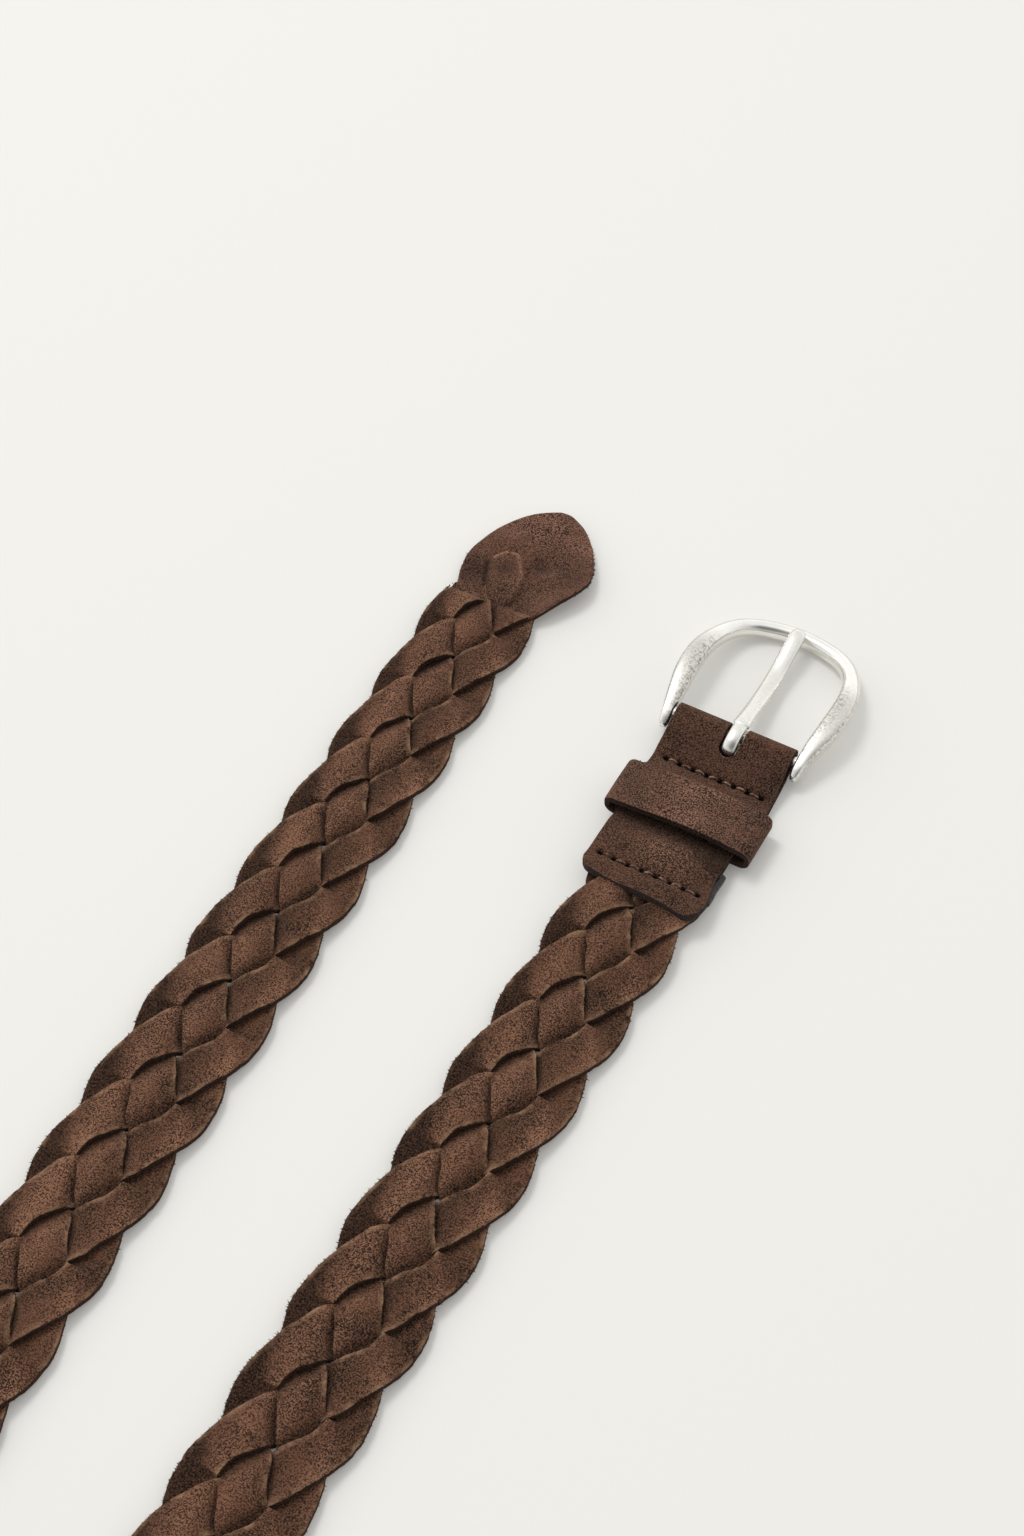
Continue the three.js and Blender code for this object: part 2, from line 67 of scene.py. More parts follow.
# The folded tab, its keeper and the pressed end of the braid
SEAT_GAP = 0.3
TAB_WIDTH = 32
FOLD_WIDTH = 30
TAB_LEATHER = 1.2
TAB_LENGTH = 55.5
TAIL_OVERLAP = 6.5
TAB_CORNER_RADIUS = 3
TAB_SIDE = -0.5
SLOT_WIDTH = 4.8
SLOT_LENGTH = 11
SEAM_FROM_FOLD = 15.6
TAIL_SEAM_FROM_TAIL = 5.4
STITCH_PITCH = 3.6
STITCH_HOLES = 8
BINDING_WIDTH = 31.6
BINDING_LENGTH = 7.8
BINDING_THICKNESS = 2.2
KEEPER_LENGTH = 13
KEEPER_FROM_TAIL = 19.6
KEEPER_WIDTH = 38
KEEPER_LEATHER = 1.2
KEEPER_ROOM = 3.3
KEEPER_ARCH = 0.9
KEEPER_CORNER = 2.6

# The buckle
BAR_RADIUS = 1.6
BAR_HEIGHT = 3.9
FRAME_REACH = 37.8
FRAME_ROOM = 1.2
FRAME_FOOT_WIDTH = 4.6
PRONG_THICKNESS = 1.9
PRONG_WIDTH = 4.2
PRONG_LOOP_WIDTH = 3.6
PRONG_DRIFT = -0.4
PRONG_REACH_SHARE = 0.985

# The tip
LEAF_WIDTH = 32
LEAF_THICKNESS = 1.9

# Sizes that follow
LOBE_PITCH = (STRAND_WIDTH + STRAND_SPACING) / math.sin(BRAID_ANGLE)
TURN_RADIUS = TURN_INNER_RADIUS + STRAND_WIDTH / 2
AMPLITUDE = LOBE_PITCH * math.tan(BRAID_ANGLE) - TURN_RADIUS * (1 / math.cos(BRAID_ANGLE) - 1)
TURN_CENTRE = AMPLITUDE - TURN_RADIUS
BRAID_HALF_WIDTH = AMPLITUDE + STRAND_WIDTH / 2
LEVEL = (STRAND_LEATHER + LAYER_GAP) / 2
BRAID_HALF_THICKNESS = LEVEL + STRAND_LEATHER / 2
BRAID_LENGTH = BRAID_LOBES * LOBE_PITCH
BRAID_LIFT = TAB_LEATHER + SEAT_GAP
TAB_TAIL = BRAID_START - TAIL_OVERLAP
FOLD_END = TAB_TAIL + TAB_LENGTH
BAR_INSET = BAR_RADIUS + SEAT_GAP + TAB_LEATHER
BAR_AT = FOLD_END - BAR_INSET
FOOT_HALF_SPAN = FOLD_WIDTH / 2 + FRAME_ROOM + FRAME_FOOT_WIDTH / 2
SEAM_AT = FOLD_END - SEAM_FROM_FOLD
TAIL_SEAM_AT = TAB_TAIL + TAIL_SEAM_FROM_TAIL
BINDING_AT = BRAID_START + SEAT_GAP
KEEPER_AT = TAB_TAIL + KEEPER_FROM_TAIL
KEEPER_END = KEEPER_AT + KEEPER_LENGTH
ARC_ANGLE = math.pi - 2 * STRAP_SPLAY
ARC_SHARE = ARC_ANGLE / math.cos(STRAP_SPLAY)
HAIRPIN_START = (BRAID_START + BRAID_END + STRAP_HALF_SPACING * ARC_SHARE - BRAID_LENGTH) / (
    2 - math.sin(STRAP_SPLAY) * ARC_SHARE)
HAIRPIN_RADIUS = (STRAP_HALF_SPACING + HAIRPIN_START * math.sin(STRAP_SPLAY)) / math.cos(STRAP_SPLAY)
HAIRPIN_CENTRE_Y = HAIRPIN_START * math.cos(STRAP_SPLAY) + HAIRPIN_RADIUS * math.sin(STRAP_SPLAY)

# How far the real thongs stand proud where they arch over each other, as shares
# of the level: at the crossings near the edges, at the middle ones, underneath
ARCH_AT_EDGE = 1.25
ARCH_AT_MIDDLE = 0.4
ARCH_BELOW = 0.1
THONG_CUPPING = 0.16
THONG_THICKNESS = 1.75
FLAT_UNDERSIDE = LEVEL * (1 + ARCH_BELOW) + THONG_THICKNESS / 2

# Between its turns a thong lies a little wider, and spreads again between two
# crossings, so the braid's holes nearly close
INNER_SPREAD = 0.6
FLARE_LEAST = 0.1
FLARE_MOST = 1.0
FLARE_RUN = 3.6

# The last middle crossing runs on over the foot of the leaf and sinks into it
RUN_ON = 23
RUN_ON_SHOWN = 1.5
RUN_ON_HALF_WIDTH = 5.5

# Seeds of the random draws
THONG_SEED = 41
THONG_WIDTH_SEED = 7
THONG_WOBBLE_SEED = 31
THONG_UNEVEN_SEED = 57
LEAF_SEED = 77
TAB_SEED = 90
KEEPER_SEED = 95

# Tufts of nap: spacing along the edge, least and greatest length
BRAID_TUFTS = (0.33, 0.12, 0.5)
LEAF_TUFTS = (0.26, 0.12, 0.55)
TAB_SIDE_TUFTS = (0.7, 0.08, 0.3)
TAB_TAIL_TUFTS = (0.5, 0.08, 0.35)
KEEPER_TUFTS = (0.6, 0.08, 0.3)
LONG_TUFT_SHARE = 0.12
LONG_TUFT_LENGTH = 1.7

# Noise scales of the nap: fibres, tufts, clouds and brushed areas
FIBRE_SCALE = 2750
TUFT_SCALE = 1500
CLOUD_SCALE = 95
BRUSHED_SCALE = 34


# The camera, with its angles in degrees
CAMERA_PLACE = (180.92, -161.74, 509.02)
CAMERA_TILT = 38
CAMERA_HEADING = 28.5
CAMERA_HALF_VIEW = 16


def add_object(name, data):
    made = bpy.data.objects.new(name, data)
    bpy.context.scene.collection.objects.link(made)
    return made


def make_camera():
    data = bpy.data.cameras.new("camera")
    camera = add_object("camera", data)
    data.lens = data.sensor_width / 2 / math.tan(math.radians(CAMERA_HALF_VIEW))
    x, y, z = CAMERA_PLACE
    camera.location = ((x - MIDDLE_X) * MM, (y - MIDDLE_Y) * MM, z * MM)
    camera.rotation_euler = (math.radians(CAMERA_TILT), 0, math.radians(CAMERA_HEADING))
    bpy.context.scene.camera = camera


def smooth(t):
    x = np.clip(t, 0, 1)
    return x * x * (3 - 2 * x)


def points_of(x, y, z):
    x, y, z = np.broadcast_arrays(np.asarray(x, float), np.asarray(y, float), np.asarray(z, float))
    return np.stack([x, y, z], axis=-1)


def strap_point(side, along, out, up):
    """A point beside one of the two straps: side is +1 on the buckle's strap and -1 on the tip's."""
    x = STRAP_HALF_SPACING + along * math.sin(STRAP_SPLAY) + out * math.cos(STRAP_SPLAY)
    y = along * math.cos(STRAP_SPLAY) - out * math.sin(STRAP_SPLAY)
    return points_of(side * x - MIDDLE_X, y - MIDDLE_Y, up)


def buckle_end_point(along, out, up):
    """A point of the buckle end, which leans a little to one side from the tab's tail."""
    past = along - TAB_TAIL
    lean_along = past * math.cos(TAB_LEAN) + out * math.sin(TAB_LEAN)
    lean_out = out * math.cos(TAB_LEAN) - past * math.sin(TAB_LEAN)
    return strap_point(1, TAB_TAIL + lean_along, TAB_SIDE + lean_out, up)


def braid_point(station, out, up):
    """A point of the braid: station runs from the buckle end to the tip, up is from the braid's middle."""
    first_strap = BRAID_START - HAIRPIN_START
    past_arc = station - first_strap - HAIRPIN_RADIUS * ARC_ANGLE
    before = station < first_strap
    along = np.where(before, BRAID_START - station, HAIRPIN_START + past_arc)
    turned = (~before) & (past_arc < 0)
    ease = smooth((FLAT_DOWN_TO - along) / (FLAT_DOWN_TO - HAIRPIN_START))
    twist = np.where(turned, math.pi / 2, math.pi / 2 * ease)
    rise = BRAID_HALF_WIDTH * np.sin(twist) + FLAT_UNDERSIDE * np.cos(twist)
    lift = np.where(past_arc < 0, BRAID_LIFT * smooth((along - TAB_TAIL + LIFT_LENGTH) / LIFT_LENGTH), 0)
    lift = np.where(turned, 0, lift)
    press = 1 - (1 - SEWN_PRESS) * smooth(1 - (station - TAIL_OVERLAP) / SEWN_PRESS_LENGTH)
    narrow = 1 - TIP_NARROWING * smooth(1 - (BRAID_LENGTH - station) / NARROWING_LENGTH)
    flat = up * press - (1 - press) * BRAID_HALF_THICKNESS
    across = out * narrow * np.cos(twist) + flat * np.sin(twist)
    height = rise + lift - out * narrow * np.sin(twist) + flat * np.cos(twist)
    straight = np.where(
        (past_arc < 0)[..., None],
        strap_point(1, along, across, height),
        strap_point(-1, along, across, height),
    )
    angle = -STRAP_SPLAY - (station - first_strap) / HAIRPIN_RADIUS
    radius = HAIRPIN_RADIUS + across
    arc = points_of(
        radius * np.cos(angle) - MIDDLE_X,
        HAIRPIN_CENTRE_Y + radius * np.sin(angle) - MIDDLE_Y,
        height,
    )
    return np.where(turned[..., None], arc, straight)


def through(rows, count):
    """A smooth line through rows of numbers, with count steps between each two."""
    rows = np.asarray(rows, float)
    padded = np.vstack([2 * rows[0] - rows[1], rows, 2 * rows[-1] - rows[-2]])
    out = []
    for i in range(len(rows) - 1):
        a, b, c, d = padded[i:i + 4]
        for step in range(count):
            t = step / count
            out.append(0.5 * (2 * b + (c - a) * t + (2 * a - 5 * b + 4 * c - d) * t * t
                              + (3 * b - a - 3 * c + d) * t ** 3))
    out.append(rows[-1])
    return np.array(out)


def waver(t, seed, lengths):
    """An even, seeded unevenness along t, about -1 to 1."""
    chance = np.random.default_rng(seed)
    total = np.zeros_like(np.asarray(t, float))
    for length in lengths:
        total += np.sin(2 * math.pi * t / length + chance.uniform(0, 2 * math.pi))
    return total / len(lengths)


def unit(vectors):
    """Each row of vectors, made one long."""
    return vectors / np.maximum(np.linalg.norm(vectors, axis=1), 1e-6)[:, None]


def directions(path):
    """The directions sideways and upward from a path at each of its points."""
    along = unit(np.gradient(path, axis=0))
    sideways = unit(np.cross(along, (0.0, 0.0, 1.0)))
    return sideways, np.cross(sideways, along)


def squared(wave, power):
    """A sine or cosine drawn out towards a squarer section."""
    return np.sign(wave) * np.abs(wave) ** power


def finish_piece(name, mesh, material, body, node, crisp):
    """A smooth shaded mesh, made an object that rides on a body and may stand for a node."""
    mesh.shade_smooth()
    if crisp is not None:
        mesh.set_sharp_from_angle(angle=math.radians(crisp))
    mesh.materials.append(material)
    piece = add_object(name, mesh)
    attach(piece, body)
    if node is not None:
        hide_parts(node)
    return piece


def make_piece(name, points, faces, material, body, node, fields=None, crisp=None):
    """A piece from millimetre points, its faces and the fields that its material reads."""
    mesh = bpy.data.meshes.new(name)
    mesh.from_pydata((np.asarray(points) * MM).tolist(), [], [list(map(int, f)) for f in faces])
    for field, values in (fields or {}).items():
        values = np.asarray(values, np.float32)
        kind = "FLOAT_VECTOR" if values.ndim == 2 else "FLOAT"
        attribute = mesh.attributes.new(field, kind, "POINT")
        attribute.data.foreach_set("vector" if values.ndim == 2 else "value", values.ravel())
    mesh.validate()
    work = bmesh.new()
    work.from_mesh(mesh)
    bmesh.ops.remove_doubles(work, verts=work.verts, dist=0.002 * MM)
    bmesh.ops.recalc_face_normals(work, faces=work.faces)
    work.to_mesh(mesh)
    work.free()
    return finish_piece(name, mesh, material, body, node, crisp)


def tube_faces(rings, sides, first=0):
    """Faces of a tube, closed at both ends, whose rings follow each other in the list of points."""
    i, j = np.meshgrid(np.arange(rings - 1), np.arange(sides), indexing="ij")
    k = (j + 1) % sides
    faces = np.stack([i * sides + j, i * sides + k, (i + 1) * sides + k, (i + 1) * sides + j], -1)
    faces = (faces.reshape(-1, 4) + first).tolist()
    faces.append([first + j for j in reversed(range(sides))])
    faces.append([first + (rings - 1) * sides + j for j in range(sides)])
    return faces


def grid_quads(at):
    """Quads between the neighbours in a grid of point numbers."""
    return np.stack([at[:-1, :-1], at[:-1, 1:], at[1:, 1:], at[1:, :-1]], -1).reshape(-1, 4)


# Shader node groups that more than one material uses

def new_group(name, inputs, outputs):
    group = bpy.data.node_groups.new(name, "ShaderNodeTree")
    for label, kind, value in inputs:
        socket = group.interface.new_socket(name=label, in_out="INPUT", socket_type=kind)
        if value is not None:
            socket.default_value = value
    for label, kind in outputs:
        group.interface.new_socket(name=label, in_out="OUTPUT", socket_type=kind)
    return group, group.nodes.new("NodeGroupInput"), group.nodes.new("NodeGroupOutput")


def add(tree, kind, values=None, **settings):
    node = tree.nodes.new(kind)
    for key, value in settings.items():
        setattr(node, key, value)
    for key, value in (values or {}).items():
        node.inputs[key].default_value = value
    return node


def stepped(tree, source, low, high, to_low=0.0, to_high=1.0):
    """The source's value moved from one range to another, held at both ends."""
    node = add(tree, "ShaderNodeMapRange", {
        "From Min": low, "From Max": high, "To Min": to_low, "To Max": to_high})
    node.clamp = True
    tree.links.new(source, node.inputs["Value"])
    return node.outputs["Result"]


def counted(tree, operation, first, second=None, third=None):
    node = add(tree, "ShaderNodeMath", operation=operation)
    for socket, value in zip(node.inputs, (first, second, third)):
        if value is None:
            continue
        if isinstance(value, (int, float)):
            socket.default_value = value
        else:
            tree.links.new(value, socket)
    return node.outputs["Value"]


def mixed(tree, factor, first, second, blend="MIX"):
    node = add(tree, "ShaderNodeMix", data_type="RGBA", blend_type=blend)
    sockets = [s for s in node.inputs if s.enabled]
    for socket, value in zip(sockets, (factor, first, second)):
        if isinstance(value, (int, float)):
            socket.default_value = value
        elif isinstance(value, tuple):
            socket.default_value = (*value, 1.0) if len(value) == 3 else value
        else:
            tree.links.new(value, socket)
    return [s for s in node.outputs if s.enabled][0]


def speckle(tree, place, scale, detail, roughness=0.6, distortion=0.0):
    node = add(tree, "ShaderNodeTexNoise", {
        "Scale": scale, "Detail": detail, "Roughness": roughness, "Distortion": distortion})
    tree.links.new(place, node.inputs["Vector"])
    return node.outputs["Fac"]


def linear(r, g, b):
    """A colour read off as sRGB 0-255, as the shader's linear values."""
    return tuple(((c / 255) / 12.92 if c / 255 <= 0.04045 else ((c / 255 + 0.055) / 1.055) ** 2.4)
                 for c in (r, g, b))


def scaled(colour, factors):
    return tuple(c * k for c, k in zip(colour, factors))


def new_material(name, values):
    """A material whose shader has these values on its own sockets."""
    material = bpy.data.materials.new(name)
    material.use_nodes = True
    shader = material.node_tree.nodes["Principled BSDF"]
    for key, value in values.items():
        shader.inputs[key].default_value = value
    return material, material.node_tree, shader


def mesh_field(tree, label):
    """One of the fields that the meshes carry."""
    return add(tree, "ShaderNodeAttribute", attribute_name=label).outputs["Fac"]


def add_relief(tree, shader, height, strength, depth):
    relief = add(tree, "ShaderNodeBump", {"Strength": strength, "Distance": depth * MM})
    tree.links.new(height, relief.inputs["Height"])
    tree.links.new(relief.outputs["Normal"], shader.inputs["Normal"])


def build_nap_group():
    """Suede's nap: fine fibre speckle, brushed clouds and rubbed patches, as colour factors and a height."""
    group, given, out = new_group(
        "suede_nap",
        [("Vector", "NodeSocketVector", None), ("Clouds", "NodeSocketFloat", 1.0),
         ("Grain", "NodeSocketFloat", 1.0)],
        [("Tone", "NodeSocketFloat"), ("Warmth", "NodeSocketFloat"), ("Height", "NodeSocketFloat")],
    )
    place = given.outputs["Vector"]
    fibre = speckle(group, place, FIBRE_SCALE, 1.5, 0.6)
    tuft = speckle(group, place, TUFT_SCALE, 2, 0.6, 0.4)
    cloud = speckle(group, place, CLOUD_SCALE, 3, 0.6, 0.8)
    brushed = speckle(group, place, BRUSHED_SCALE, 2, 0.5, 1.2)
    fine = counted(group, "ADD",
                   counted(group, "MULTIPLY", stepped(group, fibre, 0.3, 0.7, -2.0, 2.0), 1.1),
                   counted(group, "MULTIPLY", stepped(group, tuft, 0.3, 0.7, -1, 1), 0.22))
    broad = counted(group, "ADD",
                    counted(group, "MULTIPLY", stepped(group, cloud, 0.3, 0.7, -1, 1), 0.5),
                    counted(group, "MULTIPLY", stepped(group, brushed, 0.3, 0.7, -1, 1), 0.5))
    tone = counted(group, "ADD",
                   counted(group, "MULTIPLY", fine, given.outputs["Grain"]),
                   counted(group, "MULTIPLY", broad, given.outputs["Clouds"]))
    group.links.new(tone, out.inputs["Tone"])
    group.links.new(stepped(group, cloud, 0.35, 0.68), out.inputs["Warmth"])
    group.links.new(fine, out.inputs["Height"])
    return group


def build_rim_light_and_cut_group():
    """Painted highlights along the rims and dark cut sides, from the masks that the leather meshes carry."""
    group, given, out = new_group(
        "leather_rim",
        [("Vector", "NodeSocketVector", None), ("Rim", "NodeSocketFloat", 0.0),
         ("Cut", "NodeSocketFloat", 0.0), ("Amount", "NodeSocketFloat", 1.0)],
        [("Highlight", "NodeSocketFloat"), ("Side", "NodeSocketFloat")],
    )
    place = given.outputs["Vector"]
    broken = speckle(group, place, 260, 3, 0.7)
    highlight = counted(group, "MULTIPLY", given.outputs["Rim"], stepped(group, broken, 0.42, 0.66))
    group.links.new(counted(group, "MULTIPLY", highlight, given.outputs["Amount"]), out.inputs["Highlight"])
    group.links.new(given.outputs["Cut"], out.inputs["Side"])
    return group


NAP = build_nap_group()
RIM_LIGHT_AND_CUT = build_rim_light_and_cut_group()


# Red, green and blue factors on the suede's colours where it is warmer, where shade is
# painted and where a highlight is painted, and the painted shade inside the stitch holes
WARMED = (1.12, 0.92, 0.84)
PAINTED_SHADE_DEEP = (0.6, 0.6, 0.6)
PAINTED_SHADE_PALE = (0.42, 0.42, 0.42)
PAINTED_HIGHLIGHT_DEEP = (2.6, 2.6, 2.6)
PAINTED_HIGHLIGHT_PALE = (2.2, 2.15, 2.15)
HOLE_SHADE = linear(9, 7, 6)


def suede(name, pale, deep, rim_colour, side_colour, clouds=0.55, grain=0.9, bump=0.5, rim=0.8):
    """Brown suede, a dark ground and paler nap: painted shade and highlight, painted highlight on its rims,
    dark cut sides.
    """
    material, tree, shader = new_material(name, {
        "Roughness": 0.95, "Specular IOR Level": 0.12, "Sheen Weight": 0.22, "Sheen Roughness": 0.45,
        "Sheen Tint": (*linear(196, 160, 138), 1)})
    place = add(tree, "ShaderNodeTexCoord").outputs["Object"]
    nap = add(tree, "ShaderNodeGroup", {"Clouds": clouds, "Grain": grain}, node_tree=NAP)
    tree.links.new(place, nap.inputs["Vector"])
    rim_light_and_cut = add(tree, "ShaderNodeGroup", {"Amount": rim}, node_tree=RIM_LIGHT_AND_CUT)
    tree.links.new(place, rim_light_and_cut.inputs["Vector"])
    tree.links.new(mesh_field(tree, "rim"), rim_light_and_cut.inputs["Rim"])
    tree.links.new(mesh_field(tree, "cut"), rim_light_and_cut.inputs["Cut"])
    shade = mesh_field(tree, "shade")
    tone = stepped(tree, nap.outputs["Tone"], -1.0, 1.0)
    ground = mixed(tree, tone, deep, pale)
    warmed = mixed(tree, counted(tree, "MULTIPLY", nap.outputs["Warmth"], 0.3), ground, scaled(pale, WARMED))
    # Painted shade where the shade field is above zero, painted highlight where it is below zero
    painted_shade = mixed(tree, stepped(tree, shade, 0, 1), warmed,
                  mixed(tree, tone, scaled(deep, PAINTED_SHADE_DEEP), scaled(pale, PAINTED_SHADE_PALE)))
    shaded = mixed(tree, stepped(tree, shade, 0, -1), painted_shade,
                   mixed(tree, tone, scaled(deep, PAINTED_HIGHLIGHT_DEEP), scaled(pale, PAINTED_HIGHLIGHT_PALE)))
    # Painted highlight along the rims
    rimmed = mixed(tree, rim_light_and_cut.outputs["Highlight"], shaded, rim_colour)
    coloured = mixed(tree, rim_light_and_cut.outputs["Side"], rimmed, side_colour)
    # Painted shade inside the stitch holes
    hole_shade = mixed(tree, mesh_field(tree, "hole_shade"), coloured, HOLE_SHADE)
    tree.links.new(hole_shade, shader.inputs["Base Color"])
    add_relief(tree, shader, nap.outputs["Height"], bump, 0.25)
    return material


SUEDE_PALE = linear(119, 86, 67)
SUEDE_DEEP = linear(26, 18, 14)
SUEDE_RIM = linear(176, 138, 108)
SUEDE_SIDE = linear(44, 31, 27)
THONG_SUEDE = suede("thong_suede", SUEDE_PALE, SUEDE_DEEP, SUEDE_RIM, SUEDE_SIDE)
LEAF_SUEDE = suede("tip_suede", linear(123, 90, 74), linear(25, 17, 13), SUEDE_RIM, SUEDE_SIDE, clouds=0.6)
TAB_SUEDE = suede("tab_suede", linear(108, 79, 64), linear(16, 11, 8), linear(118, 88, 70),
                  linear(52, 46, 46))
KEEPER_SUEDE = suede("keeper_suede", linear(117, 87, 72), linear(22, 16, 12), linear(140, 106, 86),
                     linear(36, 29, 27))


def build_pebble_group():
    """Fine pebbled grain of pressed leather and of waxed thread."""
    group, given, out = new_group("pebbled_grain", [("Vector", "NodeSocketVector", None)],
                                  [("Pale", "NodeSocketFloat"), ("Height", "NodeSocketFloat")])
    grain = speckle(group, given.outputs["Vector"], 900, 3, 0.6)
    group.links.new(stepped(group, grain, 0.38, 0.66), out.inputs["Pale"])
    group.links.new(grain, out.inputs["Height"])
    return group


PEBBLES = build_pebble_group()


def plain_leather(name, colour, pale, roughness, bump=0.35):
    """Pressed or waxed dark leather and thread."""
    material, tree, shader = new_material(name, {"Specular IOR Level": 0.5})
    grain = add(tree, "ShaderNodeGroup", node_tree=PEBBLES)
    tree.links.new(add(tree, "ShaderNodeTexCoord").outputs["Object"], grain.inputs["Vector"])
    tree.links.new(mixed(tree, grain.outputs["Pale"], colour, pale), shader.inputs["Base Color"])
    tree.links.new(stepped(tree, grain.outputs["Pale"], 0, 1, roughness - 0.1, roughness + 0.15),
                   shader.inputs["Roughness"])
    add_relief(tree, shader, grain.outputs["Height"], bump, 0.2)
    return material


BOUND_LEATHER = plain_leather("bound_end_leather", linear(16, 13, 12), linear(48, 42, 40), 0.2, bump=1.0)
THREAD = plain_leather("thread", linear(52, 36, 28), linear(168, 130, 104), 0.75)


def build_patina_group():
    """Silver plate's cloudy shine and the dark specks that stay where it is handled."""
    group, given, out = new_group(
        "silver_patina",
        [("Vector", "NodeSocketVector", None), ("Worn", "NodeSocketFloat", 0.0),
         ("Brushed", "NodeSocketFloat", 0.0), ("Patches", "NodeSocketFloat", 0.3)],
        [("Cloud", "NodeSocketFloat"), ("Dark", "NodeSocketFloat"), ("Matte", "NodeSocketFloat"),
         ("Height", "NodeSocketFloat")],
    )
    place = given.outputs["Vector"]
    speck = speckle(group, place, 1500, 3, 0.7)
    patch = stepped(group, speckle(group, place, 75, 3, 0.6, 0.6), 0.50, 0.68)
    where = counted(group, "ADD", counted(group, "MULTIPLY", patch, given.outputs["Patches"]),
                    given.outputs["Worn"])
    dark = counted(group, "MULTIPLY", stepped(group, where, 0, 1), stepped(group, speck, 0.46, 0.6))
    group.links.new(stepped(group, speckle(group, place, 130, 3, 0.6, 0.5), 0.3, 0.7), out.inputs["Cloud"])
    group.links.new(dark, out.inputs["Dark"])
    matte = counted(group, "MULTIPLY", given.outputs["Brushed"], stepped(group, speck, 0.36, 0.6, 0.6, 1))
    group.links.new(matte, out.inputs["Matte"])
    group.links.new(counted(group, "SUBTRACT", speck, dark), out.inputs["Height"])
    return group


PATINA = build_patina_group()


SILVER = linear(240, 238, 232)
SILVER_BRIGHT = linear(249, 248, 243)
SILVER_MATTE = linear(204, 201, 193)
SILVER_DARK = linear(96, 90, 82)


def worn_silver(name, patches):
    """Satin silver plate, a little darker in the specks that its wear mask calls for."""
    material, tree, shader = new_material(name, {"Metallic": 1.0})
    patina = add(tree, "ShaderNodeGroup", {"Patches": patches}, node_tree=PATINA)
    tree.links.new(add(tree, "ShaderNodeTexCoord").outputs["Object"], patina.inputs["Vector"])
    tree.links.new(mesh_field(tree, "wear_and_highlight"), patina.inputs["Worn"])
    tree.links.new(mesh_field(tree, "brushed"), patina.inputs["Brushed"])
    bright = mixed(tree, patina.outputs["Cloud"], SILVER, SILVER_BRIGHT)
    matte = mixed(tree, patina.outputs["Matte"], bright, SILVER_MATTE)
    tree.links.new(mixed(tree, patina.outputs["Dark"], matte, SILVER_DARK), shader.inputs["Base Color"])
    satin = counted(tree, "ADD", stepped(tree, patina.outputs["Cloud"], 0, 1, 0.17, 0.22),
                    counted(tree, "MULTIPLY", patina.outputs["Dark"], 0.3))
    tree.links.new(counted(tree, "ADD", satin, counted(tree, "MULTIPLY", patina.outputs["Matte"], 0.12)),
                   shader.inputs["Roughness"])
    add_relief(tree, shader, patina.outputs["Height"], 0.12, 0.05)
    return material


FRAME_SILVER = worn_silver("frame_silver", 0.12)
PRONG_SILVER = worn_silver("prong_silver", 0.08)


# The braid's thongs

HALF_PERIOD = 2 * LOBE_PITCH
ARC_RUN = TURN_RADIUS * BRAID_ANGLE
STRAIGHT_RUN = (HALF_PERIOD - 2 * TURN_RADIUS * math.sin(BRAID_ANGLE)) / math.cos(BRAID_ANGLE)
HALF_RUN = 2 * ARC_RUN + STRAIGHT_RUN
RING_STEP = 1.0
FADE_TO_TURN = 11.3

# The thong's section: share of its half width, share of its half thickness
THONG_SECTION = np.array([
    (-1.0, 0.68), (-0.985, 0.9), (-0.94, 1.0), (-0.72, 1.0), (-0.4, 1.0), (0.0, 1.0),
    (0.4, 1.0), (0.72, 1.0), (0.94, 1.0), (0.985, 0.9), (1.0, 0.68),
    (1.0, -0.85), (0.94, -1.0), (0.5, -1.0), (0.0, -1.0), (-0.5, -1.0), (-0.94, -1.0), (-1.0, -0.85),
])
THONG_RIM = smooth((np.abs(THONG_SECTION[:, 0]) - 0.9) / 0.06)
THONG_CUT = (np.abs(THONG_SECTION[:, 0]) > 0.99).astype(float)


def thong_line(run):
    """The thong's middle line from its turn at one edge to its turn at the other, and its direction."""
    turn_in = np.clip(run, 0, ARC_RUN) / TURN_RADIUS
    straight = np.clip(run - ARC_RUN, 0, STRAIGHT_RUN)
    turn_out = np.clip(run - ARC_RUN - STRAIGHT_RUN, 0, ARC_RUN) / TURN_RADIUS
    heading = turn_in - turn_out
    x = TURN_RADIUS * np.sin(turn_in) + straight * math.cos(BRAID_ANGLE)
    x = x + TURN_RADIUS * (math.sin(BRAID_ANGLE) - np.sin(BRAID_ANGLE - turn_out))
    y = TURN_CENTRE + TURN_RADIUS * np.cos(turn_in) - straight * math.sin(BRAID_ANGLE)
    y = y - TURN_RADIUS * (np.cos(BRAID_ANGLE - turn_out) - math.cos(BRAID_ANGLE))
    return x, y, heading


def distance_across(x, y, turn_x):
    """How far a point lies past the middle line of the rising thong that turns at turn_x on the low edge."""
    sin, cos = math.sin(BRAID_ANGLE), math.cos(BRAID_ANGLE)
    vx, vy = x - turn_x, y + TURN_CENTRE
    phi = np.arctan2(vx, -vy)
    low = np.where(np.abs(phi) <= BRAID_ANGLE, np.hypot(vx, vy), np.abs(vx) * sin - vy * cos) - TURN_RADIUS
    wx, wy = x - turn_x - HALF_PERIOD, y - TURN_CENTRE
    phi = np.arctan2(wx, wy)
    high = np.where(np.abs(phi) <= BRAID_ANGLE, np.hypot(wx, wy), np.abs(wx) * sin + wy * cos) - TURN_RADIUS
    return np.where(y < 0, low, -high)


